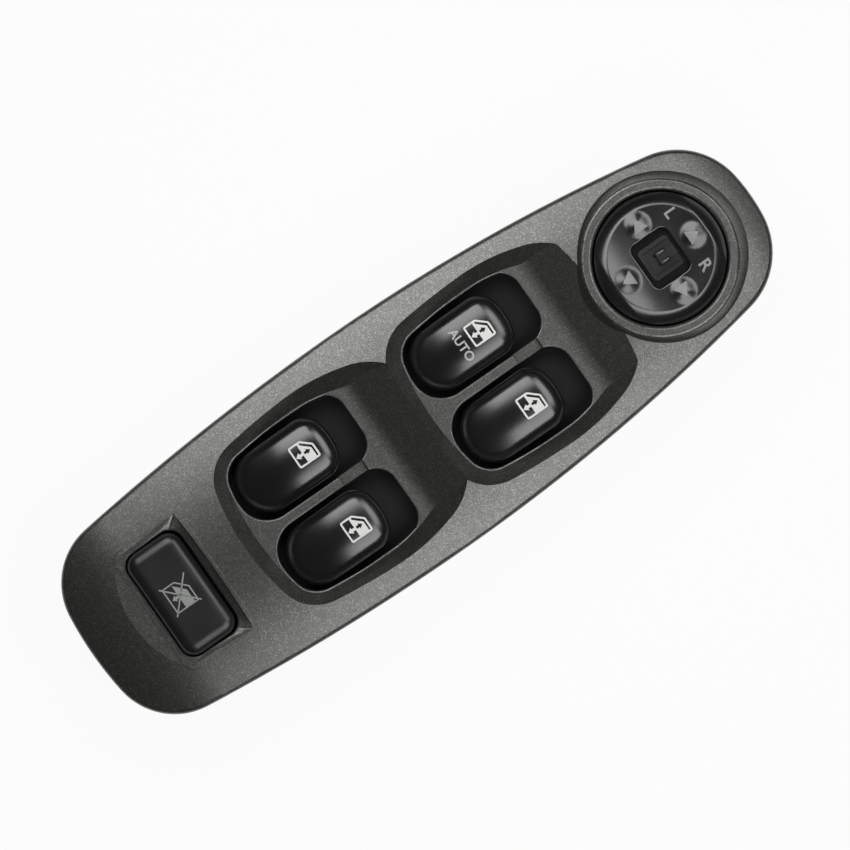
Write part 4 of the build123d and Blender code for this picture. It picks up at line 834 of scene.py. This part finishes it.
# %% Crossed window on the lock button
lock_outer = [(-13, -14.5), (13, -14.5), (13, 3), (2, 14.5), (-13, 14.5)]
lock_inner = [(-11.6, -13.1), (11.6, -13.1), (11.6, 2.4), (1.4, 13.1), (-11.6, 13.1)]
lock_glass = [(-2.2, -13.0), (8.6, -13.0), (8.6, 0.8), (1.2, 8.8), (-2.2, 12.2)]
lock_arrow = [(-2.4, -1.9), (-5.4, -1.9), (-5.4, -3.8), (-9.8, -0.4), (-5.4, 3.0), (-5.4, 1.1), (-2.4, 1.1)]
BAR_WIDTH = 1.5
lock_bars = [strip((-15, -16.5), (15.5, 16.5), BAR_WIDTH), strip((-15, 16), (15, -15.5), BAR_WIDTH)]
lock_mark = [[lock_outer, lock_inner[::-1]], [lock_glass], [lock_arrow], [lock_bars[0]], [lock_bars[1]]]
laid_mesh("lock_symbol", lock_mark, (LOCK_X, -0.2 * MM), "lock_button", ink_grey)
print("lock mark shapes", len(lock_mark))

# %% [markdown]
# ## Floor
# A catalogue picture stands its object on white. White by more light would wash the object out, so the
# floor's material looks at the ray: a ray from the camera, a gloss or a glass meets mostly a white glow,
# and a little of the lit floor, which keeps the soft shadow. All other rays meet plain pale paint.

# %% Floor
FLOOR_SIDE, FLOOR_Z = 3.0, -0.1 * MM
FLOOR_GLOW = 0.94
floor_mesh = bpy.data.meshes.new("floor")
floor_ends = ((-1, -1), (1, -1), (1, 1), (-1, 1))
floor_mesh.from_pydata([(FLOOR_SIDE * x, FLOOR_SIDE * y, FLOOR_Z) for x, y in floor_ends], [], [(0, 1, 2, 3)])
floor = bpy.data.objects.new("floor", floor_mesh)
bpy.context.scene.collection.objects.link(floor)
floor_look = bpy.data.materials.new("floor_white")
floor_look.use_nodes = True
floor_tree = floor_look.node_tree
paint = floor_tree.nodes["Principled BSDF"]
paint.inputs["Base Color"].default_value = (0.8, 0.8, 0.8, 1)
paint.inputs["Roughness"].default_value = 0.8
glow = floor_tree.nodes.new("ShaderNodeEmission")
glow.inputs["Color"].default_value = (1, 1, 1, 1)
ray_kind = floor_tree.nodes.new("ShaderNodeLightPath")
rays = [ray_kind.outputs[f"Is {kind} Ray"] for kind in ("Camera", "Transmission", "Glossy")]
camera_ray, glass_ray, gloss_ray = rays
seen = math_node(floor_tree, "MAXIMUM", camera_ray, glass_ray)
seen = math_node(floor_tree, "MAXIMUM", seen, gloss_ray)
seen = math_node(floor_tree, "MULTIPLY", seen, FLOOR_GLOW)
blend = floor_tree.nodes.new("ShaderNodeMixShader")
floor_tree.links.new(seen, blend.inputs[0])
floor_tree.links.new(paint.outputs[0], blend.inputs[1])
floor_tree.links.new(glow.outputs[0], blend.inputs[2])
floor_tree.links.new(blend.outputs[0], floor_tree.nodes["Material Output"].inputs["Surface"])
floor_mesh.materials.append(floor_look)
print("floor", FLOOR_SIDE)

# %% [markdown]
# ## Lamps
# The gloss of the object tells where the lamps stood: both long edges are bright and the middle is dark,
# so a softbox hangs to each side, and the dial and the knob fronts catch a weaker one ahead. Softboxes
# are area lamps. Their size sets how soft a highlight is, and a faint world fills the shadows.

# %% Lamps and backdrop
WORLD_STRENGTH = 0.012
# name: place, aim, size and power
SOFTBOXES = {
    "left_softbox": ((0.02, 0.26, 0.46), (0.0, 0, 0.03), (0.36, 0.28), 1.15),
    "right_softbox": ((0.02, -0.26, 0.46), (0.0, 0, 0.03), (0.36, 0.28), 1.0),
    "front_softbox": ((0.30, 0, 0.46), (0.04, 0, 0.03), (0.34, 0.2), 0.66),
}
world = bpy.data.worlds.new("studio")
bpy.context.scene.world = world
world.use_nodes = True
backdrop = world.node_tree.nodes["Background"]
backdrop.inputs["Color"].default_value = (1, 1, 1, 1)
backdrop.inputs["Strength"].default_value = WORLD_STRENGTH


def softbox(name, place, target, size, power):
    """Rectangular area lamp aimed at a point."""
    lamp = bpy.data.lights.new(name, "AREA")
    lamp.shape = "RECTANGLE"
    lamp.size, lamp.size_y = size
    lamp.energy = power
    item = bpy.data.objects.new(name, lamp)
    item.location = place
    item.rotation_euler = (Vector(target) - Vector(place)).to_track_quat("-Z", "Y").to_euler()
    bpy.context.scene.collection.objects.link(item)


for name, values in SOFTBOXES.items():
    softbox(name, *values)

# %% [markdown]
# ## Camera
# The picture looks at the panel from straight above. A camera close by would show the tall dial leaning
# outwards, so this one stands far up, and a long lens brings the panel back to the picture's scale.

# %% Camera
SHOT_TURN = radians(-35)
SHOT_CENTRE = (0.76 * MM, -0.53 * MM)
SHOT_HEIGHT, SHOT_PLANE = 1.5, 0.031
SENSOR, FRAME_PIXELS = 36.0, 850
lens = bpy.data.cameras.new("shot")
lens.sensor_fit = "AUTO"
lens.sensor_width = SENSOR
lens.lens = SENSOR * (SHOT_HEIGHT - SHOT_PLANE) / (FRAME_PIXELS * PIXEL)
shot = bpy.data.objects.new("shot", lens)
shot.location = (*SHOT_CENTRE, SHOT_HEIGHT)
shot.rotation_euler = (0, 0, SHOT_TURN)
bpy.context.scene.collection.objects.link(shot)
bpy.context.scene.camera = shot
bpy.context.scene.view_settings.view_transform = "Standard"
print("camera", tuple(round(value, 4) for value in shot.location), "lens", round(lens.lens, 2))
